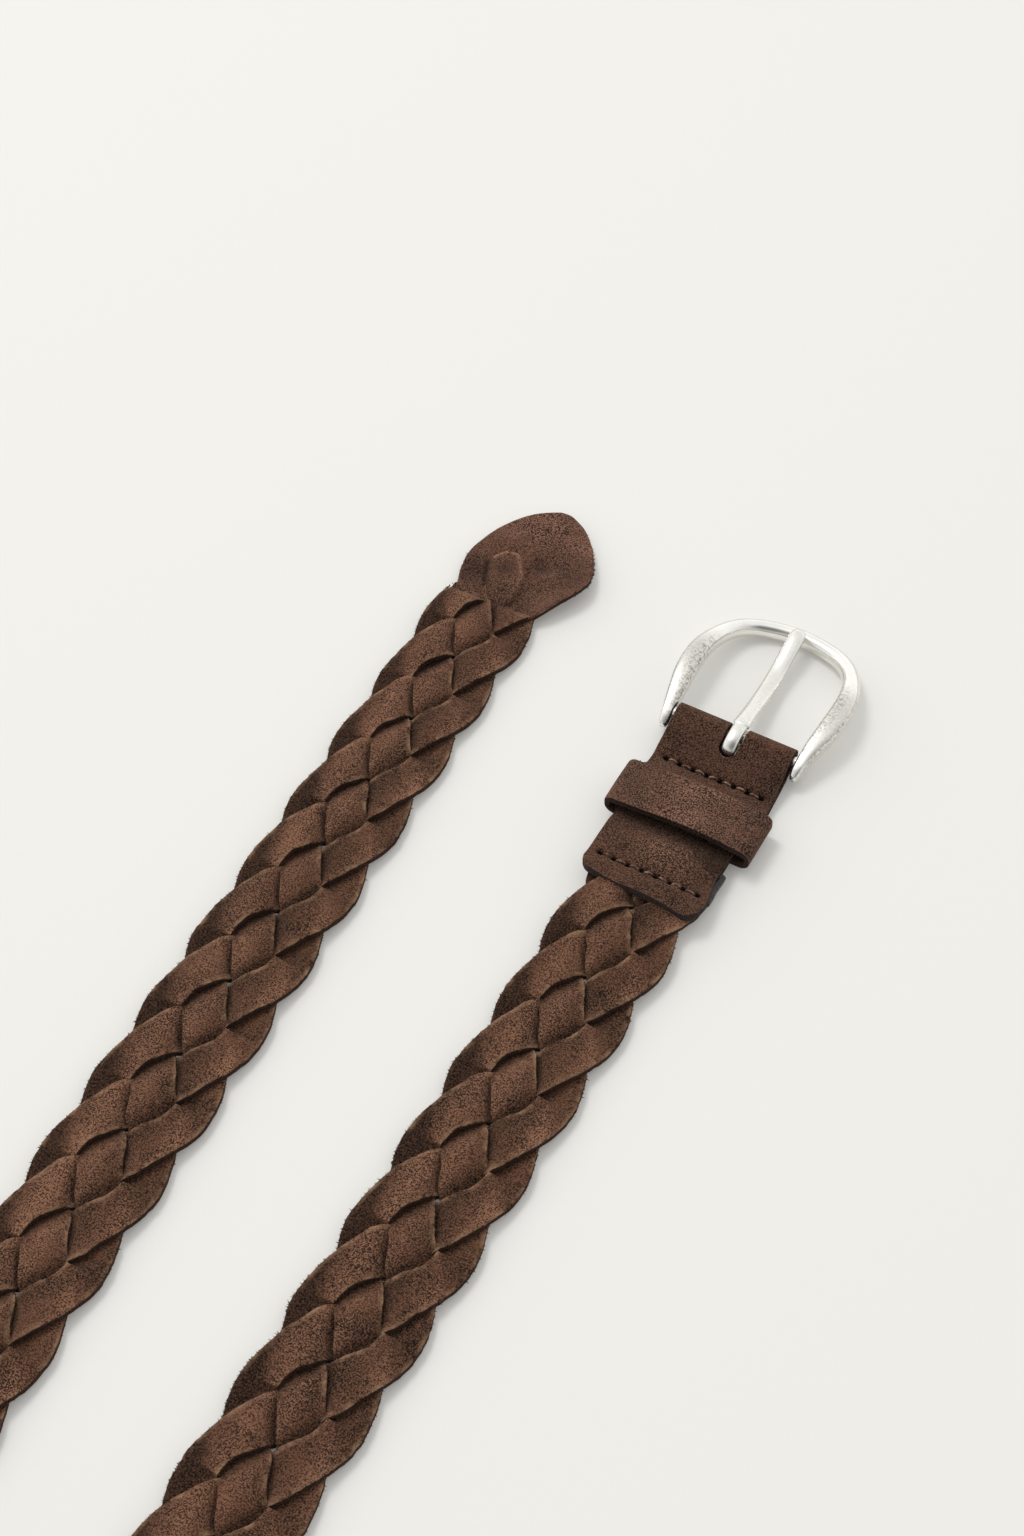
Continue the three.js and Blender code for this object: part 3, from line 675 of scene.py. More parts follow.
def thong_height(x, y, over, arches):
    """Height of a falling thong's middle layer: over, under, over the three it crosses, or the reverse."""
    reach = (STRAND_WIDTH + STRAND_SPACING) / 2
    height = np.zeros_like(x)
    for k, turn_x in enumerate((-LOBE_PITCH, 0.0, LOBE_PITCH)):
        sign = over * (1 if k != 1 else -1)
        past = distance_across(x, y, turn_x)
        near = 1 - np.clip(np.abs(past) / reach, 0, 1) ** 3.4
        faded = 0.5 * (1 + np.cos(math.pi * np.clip(np.abs(past) / FADE_TO_TURN, 0, 1)))
        if k == 0:
            shape = np.where(past < 0, faded, near)
        elif k == 2:
            shape = np.where(past > 0, faded, near)
        else:
            shape = near
        arch = np.where(sign > 0, ARCH_AT_MIDDLE if k == 1 else ARCH_AT_EDGE, ARCH_BELOW)
        height = height + sign * LEVEL * (1 + arch * arches[k]) * shape
    return height


# The leaf at the tip: station up the strap, reach to the left and to the right,
# and how far its left side, middle and right side lift off the floor
LEAF_ROWS = [
    (226.5, 9.0, 8.5, 0.2, 0.2, 0.4),
    (229.0, 9.8, 11.0, 0.3, 0.4, 1.2),
    (231.5, 10.8, 13.0, 0.5, 0.35, 2.2),
    (234.0, 11.6, 14.7, 0.5, 0.3, 3.0),
    (237.0, 12.6, 16.3, 0.4, 0.3, 3.4),
    (240.0, 13.2, 18.0, 0.3, 0.3, 3.6),
    (243.0, 13.5, 19.2, 0.3, 0.35, 3.5),
    (246.0, 13.3, 19.6, 0.2, 0.5, 3.1),
    (249.0, 12.4, 19.1, 0.2, 0.6, 2.6),
    (252.0, 11.4, 18.0, 0.2, 0.9, 2.0),
    (255.0, 10.2, 16.6, 0.2, 0.8, 1.5),
    (258.0, 8.5, 14.8, 0.2, 0.6, 1.0),
    (261.0, 6.2, 12.4, 0.2, 0.5, 0.7),
    (263.5, 3.6, 9.9, 0.2, 0.4, 0.5),
    (265.3, 1.0, 7.2, 0.2, 0.3, 0.3),
    (266.4, -1.4, 4.9, 0.2, 0.2, 0.2),
    (266.8, -2.6, 3.5, 0.2, 0.2, 0.2),
]


# Where the braid's last crossing presses through the leaf: corners as station and
# side, in order
CROSSING = np.array([(229.0, -0.3), (236.8, -4.9), (243.6, -7.2), (247.2, -4.6), (247.9, -1.0),
                     (241.4, 3.5), (236.5, 4.2), (230.5, 3.2)])
CROSSING_RAISED = 1.05
CROSSING_MOAT = 0.8

# Dents in the leaf and darker clouds on it, two of them painted shade in the dents: station, side, depth or
# darkness, spread
LEAF_DENTS = ((246.8, 4.8, 0.6, 2.4), (240.0, -9.5, 0.3, 2.6))
LEAF_CLOUDS = ((241.6, -2.0, 0.7, 1.9), (246.8, 5.0, 0.75, 2.3), (239.0, -10.3, 0.8, 2.8),
               (229.8, 6.0, 0.8, 2.8), (246.0, 15.5, 0.45, 3.0), (262.0, 8.0, 0.3, 3.0))


def pressed_crossing(station, side):
    """The crossing's relief on the leaf, and its distances beyond the left, the end and the right edge."""
    station, side = np.broadcast_arrays(np.asarray(station, float), np.asarray(side, float))
    beyond = []
    for a, b in zip(CROSSING, np.roll(CROSSING, -1, 0)):
        edge = (b - a) / np.hypot(*(b - a))
        beyond.append((station - a[0]) * edge[1] - (side - a[1]) * edge[0])
    left = np.maximum(beyond[0], beyond[1])
    end = np.maximum(beyond[2], beyond[3])
    right = np.maximum(beyond[4], beyond[5])
    outside = np.maximum(np.maximum(left, end), right)
    starts = smooth((station - 229) / 3)
    raised = smooth(-outside / 0.9 + 0.5)
    moat = smooth(outside / 0.9 + 0.5) * np.exp(-np.clip(outside, 0, 9) / 3.2)
    return starts * (CROSSING_RAISED * raised - CROSSING_MOAT * moat), left, end, right


def leaf_middle(station, side):
    """Height of the leaf's middle layer at a station up the strap, side measured to the right."""
    rows = np.array(LEAF_ROWS)
    at = [np.interp(station, rows[:, 0], rows[:, k]) for k in range(1, 6)]
    share = np.clip((side + at[0]) / (at[0] + at[1]), 0, 1)
    bend = (2 * share - 1) ** 2
    lift = at[3] * (1 - bend) + np.where(share < 0.5, at[2], at[4]) * bend
    uneven = 0.12 * waver(side, 5, (19, 7)) + 0.1 * waver(station, 6, (23, 9))
    dents = 0.0
    for u, v, depth, spread in LEAF_DENTS:
        dents = dents + depth * np.exp(-((side - v) ** 2 + (station - u) ** 2) / (2 * spread ** 2))
    return lift + LEAF_THICKNESS / 2 + uneven - dents + pressed_crossing(station, side)[0]


def run_on_leaf(flat, falling, placed):
    """Beyond the braid's end only the last middle crossing shows, and the rest lies in the leaf."""
    station, out, up = flat.T
    past = station - BRAID_LENGTH
    side_hidden = smooth((np.abs(out) - RUN_ON_HALF_WIDTH) / 3.5) * smooth((past + 1) / 4)
    end_hidden = smooth((past - RUN_ON_SHOWN) / 6)
    fall_hidden = smooth((falling + 1) / 2) * smooth((past + 3.5) / 4)
    hidden = np.clip(side_hidden + end_hidden + fall_hidden, 0, 1)
    narrow = 1 - TIP_NARROWING
    side = -out * narrow * (1 - 0.45 * hidden * smooth(past / 6))
    along = np.minimum(BRAID_END + past, BRAID_END + RUN_ON)
    inside = leaf_middle(along, side) + 0.35 * np.clip(up, -1, 1)
    sunk = strap_point(-1, along, -side, inside)
    risen = placed.copy()
    risen[:, 2] = placed[:, 2] - 0.7 * smooth((past - 6) / 10)
    return risen * (1 - hidden)[:, None] + sunk * hidden[:, None]


def thong_shade(station, out, middle, over, chance):
    """Painted shade where a thong dives, near the braid's middle and at its left turn; painted highlights on
    its crests and right edge.
    """
    to_right = np.where(station > BRAID_LENGTH / 2, -out, out)
    # Painted shade where the thong dives under its neighbours, beside the braid's middle and at its left turn
    dive = 1 - np.clip(np.abs(middle) / LEVEL, 0, 1)
    patch = 0.65 * np.exp(-((to_right - 2.6) / 3.4) ** 2) if over > 0 else 0.3 * np.exp(
        -((to_right - 3.2) / 2.4) ** 2)
    turn = 0.5 * smooth((-to_right - 9.5) / 3) if over > 0 else 0.35 * smooth((-to_right - 8) / 3)
    # Painted highlight on the crests and towards the right edge
    highlight = 0.55 * smooth((to_right - 7.5) / 4) + 0.45 * np.exp(-((to_right + 6.5) / 3.0) ** 2) * (over > 0)
    highlight = highlight + 0.3 * np.exp(-((to_right + 1.5) / 3.0) ** 2) * (over < 0)
    strong = chance.uniform(0.6, 1.25, 3)
    return np.clip(dive ** 0.8 + strong[0] * patch + strong[1] * turn - 1.2 * strong[2] * highlight, -1, 1)


FIBRES = {"points": [], "faces": []}


def add_fibres(base, outward, least, most, place, chance):
    """Tufts of nap that stand out from an edge: small closed spikes, placed by the given mapping."""
    count = len(base)
    ahead = np.stack([-outward[:, 1], outward[:, 0], np.zeros(count)], -1)
    length = chance.uniform(least, most, count)
    length = length * np.where(chance.random(count) < LONG_TUFT_SHARE, LONG_TUFT_LENGTH, 1.0)
    half = chance.uniform(0.1, 0.24, count)
    lean = chance.normal(0, 0.5, count)
    drop = chance.uniform(-0.5, 0.25, count)
    up = np.array((0.0, 0.0, 1.0))
    foot = base - 0.15 * outward
    spike = np.stack([
        foot + half[:, None] * ahead,
        foot - half[:, None] * ahead,
        foot - 0.3 * up,
        base + length[:, None] * (outward + lean[:, None] * ahead + drop[:, None] * up),
    ], 1)
    first = sum(len(part) for part in FIBRES["points"])
    placed = place(spike.reshape(-1, 3))
    FIBRES["points"].append(placed)
    start = first + 4 * np.arange(count)[:, None]
    for corner in ((0, 1, 3), (1, 2, 3), (2, 0, 3), (0, 2, 1)):
        FIBRES["faces"] += (start + np.array(corner)).tolist()


def fibres_along(edge, inner, tufts, place, chance):
    """Tufts at uneven steps along an edge line, pointing away from a line inside it."""
    spacing, least, most = tufts
    gaps = np.linalg.norm(np.diff(edge, axis=0), axis=1)
    run = np.concatenate([[0], np.cumsum(gaps)])
    at = np.sort(chance.uniform(0, run[-1], int(run[-1] / spacing)))
    base = np.stack([np.interp(at, run, edge[:, k]) for k in range(3)], -1)
    inside = np.stack([np.interp(at, run, inner[:, k]) for k in range(3)], -1)
    outward = base - inside
    outward[:, 2] = 0
    outward = unit(outward)
    base = base - np.array((0, 0, 1.0)) * chance.uniform(0, 0.5, len(base))[:, None]
    add_fibres(base, outward, least, most, place, chance)


def place_on_braid(flat):
    return braid_point(flat[:, 0], flat[:, 1], flat[:, 2])


def place_on_tip(flat):
    return strap_point(-1, flat[:, 0], -flat[:, 1], flat[:, 2])


def place_on_buckle_end(flat):
    return buckle_end_point(flat[:, 0], flat[:, 1], flat[:, 2])


def make_fibres():
    """Every tuft of nap in one mesh."""
    points = np.concatenate(FIBRES["points"])
    count = len(points)
    fields = {"rim": np.zeros(count), "cut": np.full(count, 0.35), "shade": np.full(count, 0.3)}
    return make_piece("nap_fibres", points, FIBRES["faces"], THONG_SUEDE, "strap", None, fields)


def make_thong(index):
    """One thong of the braid, laid out flat, cut at the braid's two ends and then laid in its place."""
    chance = np.random.default_rng(THONG_SEED + index)
    runs = np.arange(0, HALF_RUN, RING_STEP)
    halves = math.ceil(BRAID_LOBES / 2) + 4
    rows = []
    for half in range(halves):
        over = 1 if half % 2 == 0 else -1
        shift = (index - 4) * LOBE_PITCH + half * HALF_PERIOD
        arches = chance.uniform(0.75, 1.2, 3)
        tilt = chance.normal(0, 0.012)
        x, y, heading = thong_line(runs)
        total = half * HALF_RUN + runs
        wide = STRAND_WIDTH / 2 * (1 + 0.02 * waver(total, THONG_WIDTH_SEED + index, (61, 23, 9.7)))
        wide = wide + chance.normal(0, 0.05, len(runs))
        wide = wide + INNER_SPREAD * smooth((runs - 6) / 6) * smooth((HALF_RUN - 6 - runs) / 6)
        for between in (-1, 1):
            gap = (runs - HALF_RUN / 2 - between * LOBE_PITCH / math.cos(BRAID_ANGLE) / 4) / FLARE_RUN
            wide = wide + chance.uniform(FLARE_LEAST, FLARE_MOST) * np.exp(-gap ** 2)
        lateral = over * wide[:, None] * THONG_SECTION[None, :, 0]
        wobble = 0.12 * waver(total, THONG_WOBBLE_SEED + index, (47, 17))[:, None]
        px = x[:, None] + (lateral + wobble) * np.sin(heading)[:, None]
        py = y[:, None] + (lateral + wobble) * np.cos(heading)[:, None]
        middle = thong_height(px, py, over, arches)
        cupped = -THONG_CUPPING * THONG_SECTION[None, :, 0] ** 2 * middle / LEVEL
        uneven = 0.05 * waver(total, THONG_UNEVEN_SEED + index, (13, 5.3))[:, None] + tilt * lateral
        z = middle + cupped + uneven + THONG_SECTION[None, :, 1] * THONG_THICKNESS / 2
        shade = thong_shade(px + shift, over * py, middle, over, chance)
        right = np.where(px + shift > BRAID_LENGTH / 2, -1, 1) * np.sign(over * (py - y[:, None]))
        # Painted highlight along the rims: on both edges of a falling thong, mostly on the right edge of a
        # rising one
        rim = THONG_RIM * (1 if over > 0 else np.where(right > 0, 1.0, 0.15))
        rows.append(np.stack([px + shift, over * py, z, np.broadcast_to(rim, px.shape),
                              np.broadcast_to(THONG_CUT, px.shape), shade, np.full(px.shape, over)], axis=-1))
    rings = np.concatenate(rows)
    keep = (rings[:, :, 0].max(1) > -2) & (rings[:, :, 0].min(1) < BRAID_LENGTH + RUN_ON + 2)
    rings = rings[keep]
    count, sides = rings.shape[:2]
    fuzzy = rings[(rings[:, :, 0].min(1) > 8) & (rings[:, :, 0].max(1) < BRAID_LENGTH + 1)]
    for edge in (0, 10):
        fibres_along(fuzzy[:, edge, :3], fuzzy[:, 5, :3], BRAID_TUFTS, place_on_braid, chance)
    data = rings.reshape(-1, 7)
    work = bmesh.new()
    layers = [work.verts.layers.float.new(label) for label in ("rim", "cut", "shade", "falling")]
    verts = []
    for row in data:
        vert = work.verts.new(row[:3])
        for layer, value in zip(layers, row[3:]):
            vert[layer] = value
        verts.append(vert)
    for face in tube_faces(count, sides):
        work.faces.new([verts[i] for i in face])
    for at, way in ((0.0, -1), (BRAID_LENGTH + RUN_ON, 1)):
        everything = work.verts[:] + work.edges[:] + work.faces[:]
        cut = bmesh.ops.bisect_plane(work, geom=everything, dist=1e-5, plane_co=(at, 0, 0),
                                     plane_no=(way, 0, 0), clear_outer=True)
        rim = [e for e in cut["geom_cut"] if isinstance(e, bmesh.types.BMEdge)]
        bmesh.ops.holes_fill(work, edges=rim)
    flat = np.array([v.co for v in work.verts])
    falling = np.array([v[layers[3]] for v in work.verts])
    placed = run_on_leaf(flat, falling, braid_point(flat[:, 0], flat[:, 1], flat[:, 2]))
    for vert, point in zip(work.verts, placed):
        vert.co = point * MM
    bmesh.ops.recalc_face_normals(work, faces=work.faces)
    name = f"thong_{index + 1}"
    mesh = bpy.data.meshes.new(name)
    work.to_mesh(mesh)
    work.free()
    return finish_piece(name, mesh, THONG_SUEDE, "strap", f"strand_{index + 1}", 50)


def slab(top, under, fields=None):
    """A closed sheet between two grids of points. Returns points, faces and the fields of both sides."""
    rows, columns = top.shape[:2]
    points = np.concatenate([top.reshape(-1, 3), under.reshape(-1, 3)])
    size = rows * columns
    at = np.arange(size).reshape(rows, columns)
    upper = grid_quads(at)
    faces = upper.tolist() + (upper[:, ::-1] + size).tolist()
    loop = list(at[0, :]) + list(at[1:, -1]) + list(at[-1, -2::-1]) + list(at[-2:0:-1, 0])
    for a, b in zip(loop, loop[1:] + loop[:1]):
        faces.append([a, a + size, b + size, b])
    both = {key: np.concatenate([value.ravel()] * 2) for key, value in (fields or {}).items()}
    return points, faces, both


RIM_STEPS = np.array([0.0, 0.08, 0.25, 0.55, 1.0])
RIM_ROUND = 0.55
RIM_LEAST = 0.45
TAB_RIM_LEAST = 0.8


def rounded(depth, least):
    """A sheet's thickness share near its rim, at a depth given as a share of the rounding."""
    return least + (1 - least) * np.sqrt(1 - (1 - np.clip(depth, 0, 1)) ** 2)


def lit_rim(thick, least):
    """Where a sheet's rim gets its painted highlight, from its thickness share."""
    return smooth((0.9 - (thick - least) / (1 - least)) / 0.5)


def rimmed_shares(half_width, inner):
    """Positions across a sheet from edge to edge, close at the rims, and the thickness share there."""
    edge = RIM_STEPS * RIM_ROUND
    inside = np.linspace(RIM_ROUND, 2 * half_width - RIM_ROUND, inner)[1:-1]
    across = np.concatenate([edge, inside, 2 * half_width - edge[::-1]])
    depth = np.minimum(across, 2 * half_width - across) / RIM_ROUND
    return across / (2 * half_width), rounded(depth, RIM_LEAST)


def make_leaf():
    rows = through(LEAF_ROWS, 9)
    shares, thick = rimmed_shares(LEAF_WIDTH / 2, 72)
    side = -rows[:, 1:2] * (1 - shares) + rows[:, 2:3] * shares
    station = np.broadcast_to(rows[:, 0:1], side.shape)
    ends = rows[-1, 0] - rows[:, 0]
    end_thick = rounded(ends / RIM_ROUND, RIM_LEAST)
    middle = leaf_middle(station, side)
    thickness = LEAF_THICKNESS / 2 * np.minimum(thick[None, :], end_thick[:, None])
    top = strap_point(-1, station, -side, middle + thickness)
    under = strap_point(-1, station, -side, middle - thickness)
    rim = np.broadcast_to(lit_rim(thick[None, :], RIM_LEAST), side.shape)
    left, end, right = pressed_crossing(station, side)[1:]
    outside = np.maximum(np.maximum(left, end), right)
    cloud = np.zeros_like(station)
    for u, v, dark, spread in LEAF_CLOUDS:
        cloud = cloud + dark * np.exp(-((station - u) ** 2 + (side - v) ** 2) / (2 * spread ** 2))
    # Painted shadow just outside the crossing's left edge
    cloud = cloud + 1.1 * np.exp(-((left - 0.5) / 0.7) ** 2) * (end < 0.5) * smooth((station - 230) / 3)
    # Painted highlight along the crossing's end and right edge
    along_rim = np.exp(-((outside + 0.4) / 0.5) ** 2) * (np.maximum(end, right) > left)
    rim = np.maximum(rim, 0.75 * along_rim * smooth((station - 236) / 4))
    cloud = cloud - 1.1 * along_rim * smooth((station - 234) / 4)
    cloud = cloud - 0.5 * smooth((station - 251) / 7)
    fields = {"rim": rim, "cut": np.broadcast_to((thick < 0.5)[None, :].astype(float), side.shape),
              "shade": np.clip(cloud, -1, 1)}
    points, faces, both = slab(top, under, fields)
    outline = [np.stack([station[:, k], side[:, k], middle[:, k]], -1) for k in (0, -1)]
    outline = np.concatenate([outline[0][36:], outline[1][::-1][:-36]])
    inner = np.broadcast_to(np.array((247.0, 2.0, 2.0)), outline.shape)
    chance = np.random.default_rng(LEAF_SEED)
    fibres_along(outline, inner, LEAF_TUFTS, place_on_tip, chance)
    return make_piece("leaf", points, faces, LEAF_SUEDE, "strap", "tip_leaf", both, crisp=50)


# The tab: its middle line in side view, along and up
UNDER_MID = TAB_LEATHER / 2
SEAM_MID = TAB_LEATHER * 1.5 + SEAT_GAP
OVER_KEEPER_MID = TAB_LEATHER * 1.5 + KEEPER_LEATHER + 2 * SEAT_GAP
OVER_BINDING_MID = TAB_LEATHER * 1.5 + BINDING_THICKNESS + 2 * SEAT_GAP
OVER_BRAID_MID = TAB_LEATHER * 1.5 + 2 * BRAID_HALF_THICKNESS * SEWN_PRESS + 2 * SEAT_GAP


# The tab's departures from its solid: its trims to the right and left of its upper
# and lower layers, its tail, and the hump that the braid's end makes under it
FOLD_WIDER_LEFT = 1.0
TAIL_LOWER_SHORT = 8.0
TAIL_LONGER = 0.9
TAIL_SLANT = 0.07
TAIL_THICKER = 1.25
UPPER_TRIM = 0.5
UPPER_TRIM_RIGHT = 1.1
LOWER_TRIM_RIGHT = 2.2
LOWER_TRIM_LEFT = 0.8
BULGE_HEIGHT = 0.7
BULGE_ALONG = 178.5
BULGE_OUT = 1.5
TRIM_ALONG = 170
TRIM_RUN = 9
HOLE_DEPTH = 1.0
STITCH_SPAN = [STITCH_PITCH * (i - (STITCH_HOLES - 1) / 2) for i in range(STITCH_HOLES)]


def tab_line():
    """The tab's middle line in side view, how far along it each point lies, and its length."""
    radius = BAR_INSET - TAB_LEATHER / 2
    turn = [(BAR_AT + radius * math.cos(a), BAR_HEIGHT + radius * math.sin(a))
            for a in np.linspace(-0.6 * math.pi, 0.6 * math.pi, 13)]
    under = [(TAB_TAIL + TAIL_LOWER_SHORT, UNDER_MID), (TAB_TAIL + 14, UNDER_MID), (TAB_TAIL + 28, UNDER_MID),
             (BAR_AT - SLOT_LENGTH, UNDER_MID), (BAR_AT - SLOT_LENGTH * 0.5, UNDER_MID + 0.12)]
    over = [
        (SEAM_AT + 4, SEAM_MID + 0.32 * (BAR_HEIGHT + radius - SEAM_MID)),
        (SEAM_AT, SEAM_MID),
        (SEAM_AT - 3, SEAM_MID + 0.3),
        (KEEPER_END + SEAT_GAP, OVER_KEEPER_MID),
        (KEEPER_AT - SEAT_GAP, OVER_KEEPER_MID),
        (BINDING_AT + BINDING_LENGTH, OVER_BINDING_MID + 0.3),
        (BINDING_AT, OVER_BRAID_MID + 0.2),
        (TAB_TAIL - TAIL_LONGER, OVER_BRAID_MID + 0.9),
    ]
    line = through(under + turn + over, 8)
    gaps = np.hypot(*np.diff(line, axis=0).T)
    run = np.concatenate([[0], np.cumsum(gaps)])
    seam_runs = []
    for seam in (SEAM_AT, TAIL_SEAM_AT):
        past_fold = np.where(run > run[-1] / 2, np.abs(line[:, 0] - seam), 1e9)
        seam_runs.append(run[np.argmin(past_fold)])
    steps = np.unique(np.concatenate([np.arange(0, run[-1], 0.6)]
                                     + [np.arange(at - 1.5, at + 1.5, 0.25) for at in seam_runs]))
    steps = np.concatenate([RIM_STEPS[:-1] * RIM_ROUND, steps[steps > RIM_ROUND]])
    steps = steps[steps < run[-1] - RIM_ROUND]
    steps = np.concatenate([steps, run[-1] - RIM_STEPS[::-1] * RIM_ROUND])
    stepped_line = np.stack([np.interp(steps, run, line[:, k]) for k in (0, 1)], -1)
    return stepped_line, steps, run[-1]


def tab_half_width(along, side):
    at_fold = FOLD_WIDTH / 2 + (FOLD_WIDER_LEFT if side < 0 else 0)
    wide = np.interp(along, [KEEPER_END, BAR_AT], [TAB_WIDTH / 2, at_fold])
    radius = TAB_CORNER_RADIUS * (1.35 if side > 0 else 0.9)
    corner = np.clip(TAB_TAIL - TAIL_LONGER + radius - along, 0, radius)
    return wide - radius + np.sqrt(radius ** 2 - corner ** 2)


def slot_half_width(along, upper):
    half = SLOT_WIDTH / 2
    end = FOLD_END - SLOT_LENGTH + half + np.where(upper > 0.5, 1.2, 2.3)
    rounded = np.sqrt(np.clip(half ** 2 - np.clip(end - along, 0, half) ** 2, 0, None))
    return np.where(along >= end - half, rounded, 0.0)


def tab_dents(along, out, upper):
    """How far the upper layer is pressed in by the two seams and each of their holes."""
    dent = np.zeros_like(along)
    for seam in (SEAM_AT, TAIL_SEAM_AT):
        reach = smooth((15 - np.abs(out)) / 2)
        dent += 0.28 * np.exp(-((along - seam) / 1.1) ** 2) * reach
        for v in STITCH_SPAN:
            dent += HOLE_DEPTH * np.exp(-(((along - seam) / 0.62) ** 2 + ((out - v) / 0.95) ** 2) ** 1.5)
    return dent * upper


def make_tab():
    line, steps, length = tab_line()
    tangent = unit(np.gradient(line, axis=0))
    normal = np.stack([tangent[:, 1], -tangent[:, 0]], -1)
    upper = smooth((steps - length * 0.5) / 6)
    ends = np.minimum(steps, length - steps)
    end_thick = rounded(ends / RIM_ROUND, TAB_RIM_LEAST)
    points, faces, rims, cuts, shades, hole_shades = [], [], [], [], [], []
    for side in (-1, 1):
        near_tail = smooth((KEEPER_END - line[:, 0]) / 12)
        outer = tab_half_width(line[:, 0], side)
        more = UPPER_TRIM_RIGHT if side > 0 else 0.0
        trimmed = UPPER_TRIM + more * smooth((line[:, 0] - TRIM_ALONG) / TRIM_RUN)
        lower_trim = LOWER_TRIM_RIGHT if side > 0 else LOWER_TRIM_LEFT
        outer = outer - near_tail * np.where(upper > 0.5, trimmed, lower_trim)
        inner = slot_half_width(line[:, 0], upper)
        span = outer - inner
        at_rim = RIM_STEPS * RIM_ROUND
        columns = np.concatenate([at_rim, np.linspace(RIM_ROUND, TAB_WIDTH / 2 - RIM_ROUND, 44)[1:-1],
                                  TAB_WIDTH / 2 - at_rim[::-1]]) / (TAB_WIDTH / 2)
        out = side * (inner[:, None] + span[:, None] * columns[None, :])
        from_outer = span[:, None] * (1 - columns[None, :])
        from_inner = np.where(inner[:, None] > 0.2, span[:, None] * columns[None, :], RIM_ROUND)
        near = np.clip(np.minimum(from_outer, from_inner) / RIM_ROUND, 0, 1)
        thick = np.minimum(rounded(near, TAB_RIM_LEAST), end_thick[:, None])
        slant = TAIL_SLANT * out * upper[:, None] * smooth((TAIL_SEAM_AT - line[:, 0:1]) / 5)
        along = line[:, 0:1] - slant
        height = np.broadcast_to(line[:, 1:2], out.shape)
        press = tab_dents(along, out, upper[:, None])
        hump = np.exp(-((along - BULGE_ALONG) / 4.2) ** 2 - ((out - BULGE_OUT) / 6.5) ** 2)
        bulge = BULGE_HEIGHT * hump
        to_tail = np.exp(-((along - TAB_TAIL) / 3.5) ** 2)
        tail_wave = to_tail * (0.55 * np.sin(out / 3.6 + 0.6) + 0.8 * smooth((out - 9.5) / 6))
        lift = bulge + tail_wave + 0.1 * waver(along, 3, (17, 8)) + 0.1 * waver(out, 4, (21, 9))
        half = TAB_LEATHER / 2 * thick
        offset = lift * upper[:, None] - press
        thicker = TAIL_THICKER * thick * upper[:, None] * smooth((180 - along) / 8)
        for sign, extra in ((1, 0), (-1, thicker)):
            px = along + normal[:, 0:1] * (sign * half + offset - extra)
            py = height + normal[:, 1:2] * (sign * half + offset - extra)
            points.append(buckle_end_point(px, out, py))
        rows, wide = out.shape
        size = rows * wide
        first = sum(len(p.reshape(-1, 3)) for p in points[:-2])
        at = np.arange(size).reshape(rows, wide) + first
        quads = grid_quads(at)
        faces += quads.tolist() + (quads[:, ::-1] + size).tolist()
        for i in range(rows - 1):
            faces.append([at[i, -1], at[i, -1] + size, at[i + 1, -1] + size, at[i + 1, -1]])
            if max(inner[i], inner[i + 1]) > 0:
                faces.append([at[i + 1, 0], at[i + 1, 0] + size, at[i, 0] + size, at[i, 0]])
        for row in (0, rows - 1):
            for j in range(wide - 1):
                faces.append([at[row, j], at[row, j] + size, at[row, j + 1] + size, at[row, j + 1]])
        rim = lit_rim(thick, TAB_RIM_LEAST)
        # Painted shade inside each stitch hole
        hole = smooth((press - 0.55) / 0.3)
        edge = np.minimum(near, ends[:, None] / RIM_ROUND) < 0.05
        # Painted shadow of the keeper under and beside it, painted highlight on the hump, painted shade
        # between seam and fold, and darker towards the right side
        under_keeper = smooth((along - KEEPER_AT + 5) / 5)
        under_keeper = np.maximum(under_keeper, smooth((out - 4) / 6) * smooth((along - KEEPER_AT + 9) / 6))
        under_keeper = under_keeper * (along < KEEPER_END)
        shade = 0.9 * under_keeper * (1 - bulge) - 1.4 * bulge
        shade = shade + 0.25 * smooth((out - 8) / 5) + 0.2 * smooth((along - SEAM_AT) / 6)
        shade = np.clip(shade, -1, 1) * upper[:, None]
        for _ in range(2):
            rims.append(rim.ravel())
            cuts.append(edge.astype(float).ravel())
            hole_shades.append(hole.ravel())
            shades.append(shade.ravel())
        chance = np.random.default_rng(TAB_SEED + side)
        sheet = np.stack([along, out, height + offset], -1)
        past_fold = steps > length * 0.5 + 8
        fibres_along(sheet[past_fold, -1], sheet[past_fold, -8], TAB_SIDE_TUFTS, place_on_buckle_end, chance)
        fibres_along(sheet[-1, 8:], sheet[-12, 8:], TAB_TAIL_TUFTS, place_on_buckle_end, chance)
    all_points = np.concatenate([p.reshape(-1, 3) for p in points])
    fields = {"rim": np.concatenate(rims), "cut": np.concatenate(cuts), "shade": np.concatenate(shades),
              "hole_shade": np.concatenate(hole_shades)}
    return make_piece("folded_tab", all_points, faces, TAB_SUEDE, "strap", "tab", fields, crisp=60)


def tab_top(along):
    """Height of the tab's upper face on its middle line."""
    line, steps, length = tab_line()
    upper = steps > length * 0.5
    order = np.argsort(line[upper, 0])
    return np.interp(along, line[upper, 0][order], line[upper, 1][order]) + TAB_LEATHER / 2


def round_tube(path, radius, sides=8):
    """Points and faces of a thin round tube along a path, with a radius for each point."""
    sideways, upward = directions(path)
    angles = 2 * math.pi * np.arange(sides) / sides
    ring = (np.cos(angles)[None, :, None] * sideways[:, None, :]
            + np.sin(angles)[None, :, None] * upward[:, None, :]) * radius[:, None, None]
    return (path[:, None, :] + ring).reshape(-1, 3), tube_faces(len(path), sides)


# A stitch between two holes: where it starts and how long it is as shares of the
# pitch, how deep its ends sink, and its thread
STITCH_START = 0.18
STITCH_SHARE = 0.64
STITCH_SINK = 0.8
THREAD_RADIUS = 0.22
THREAD_SWELL = 0.07


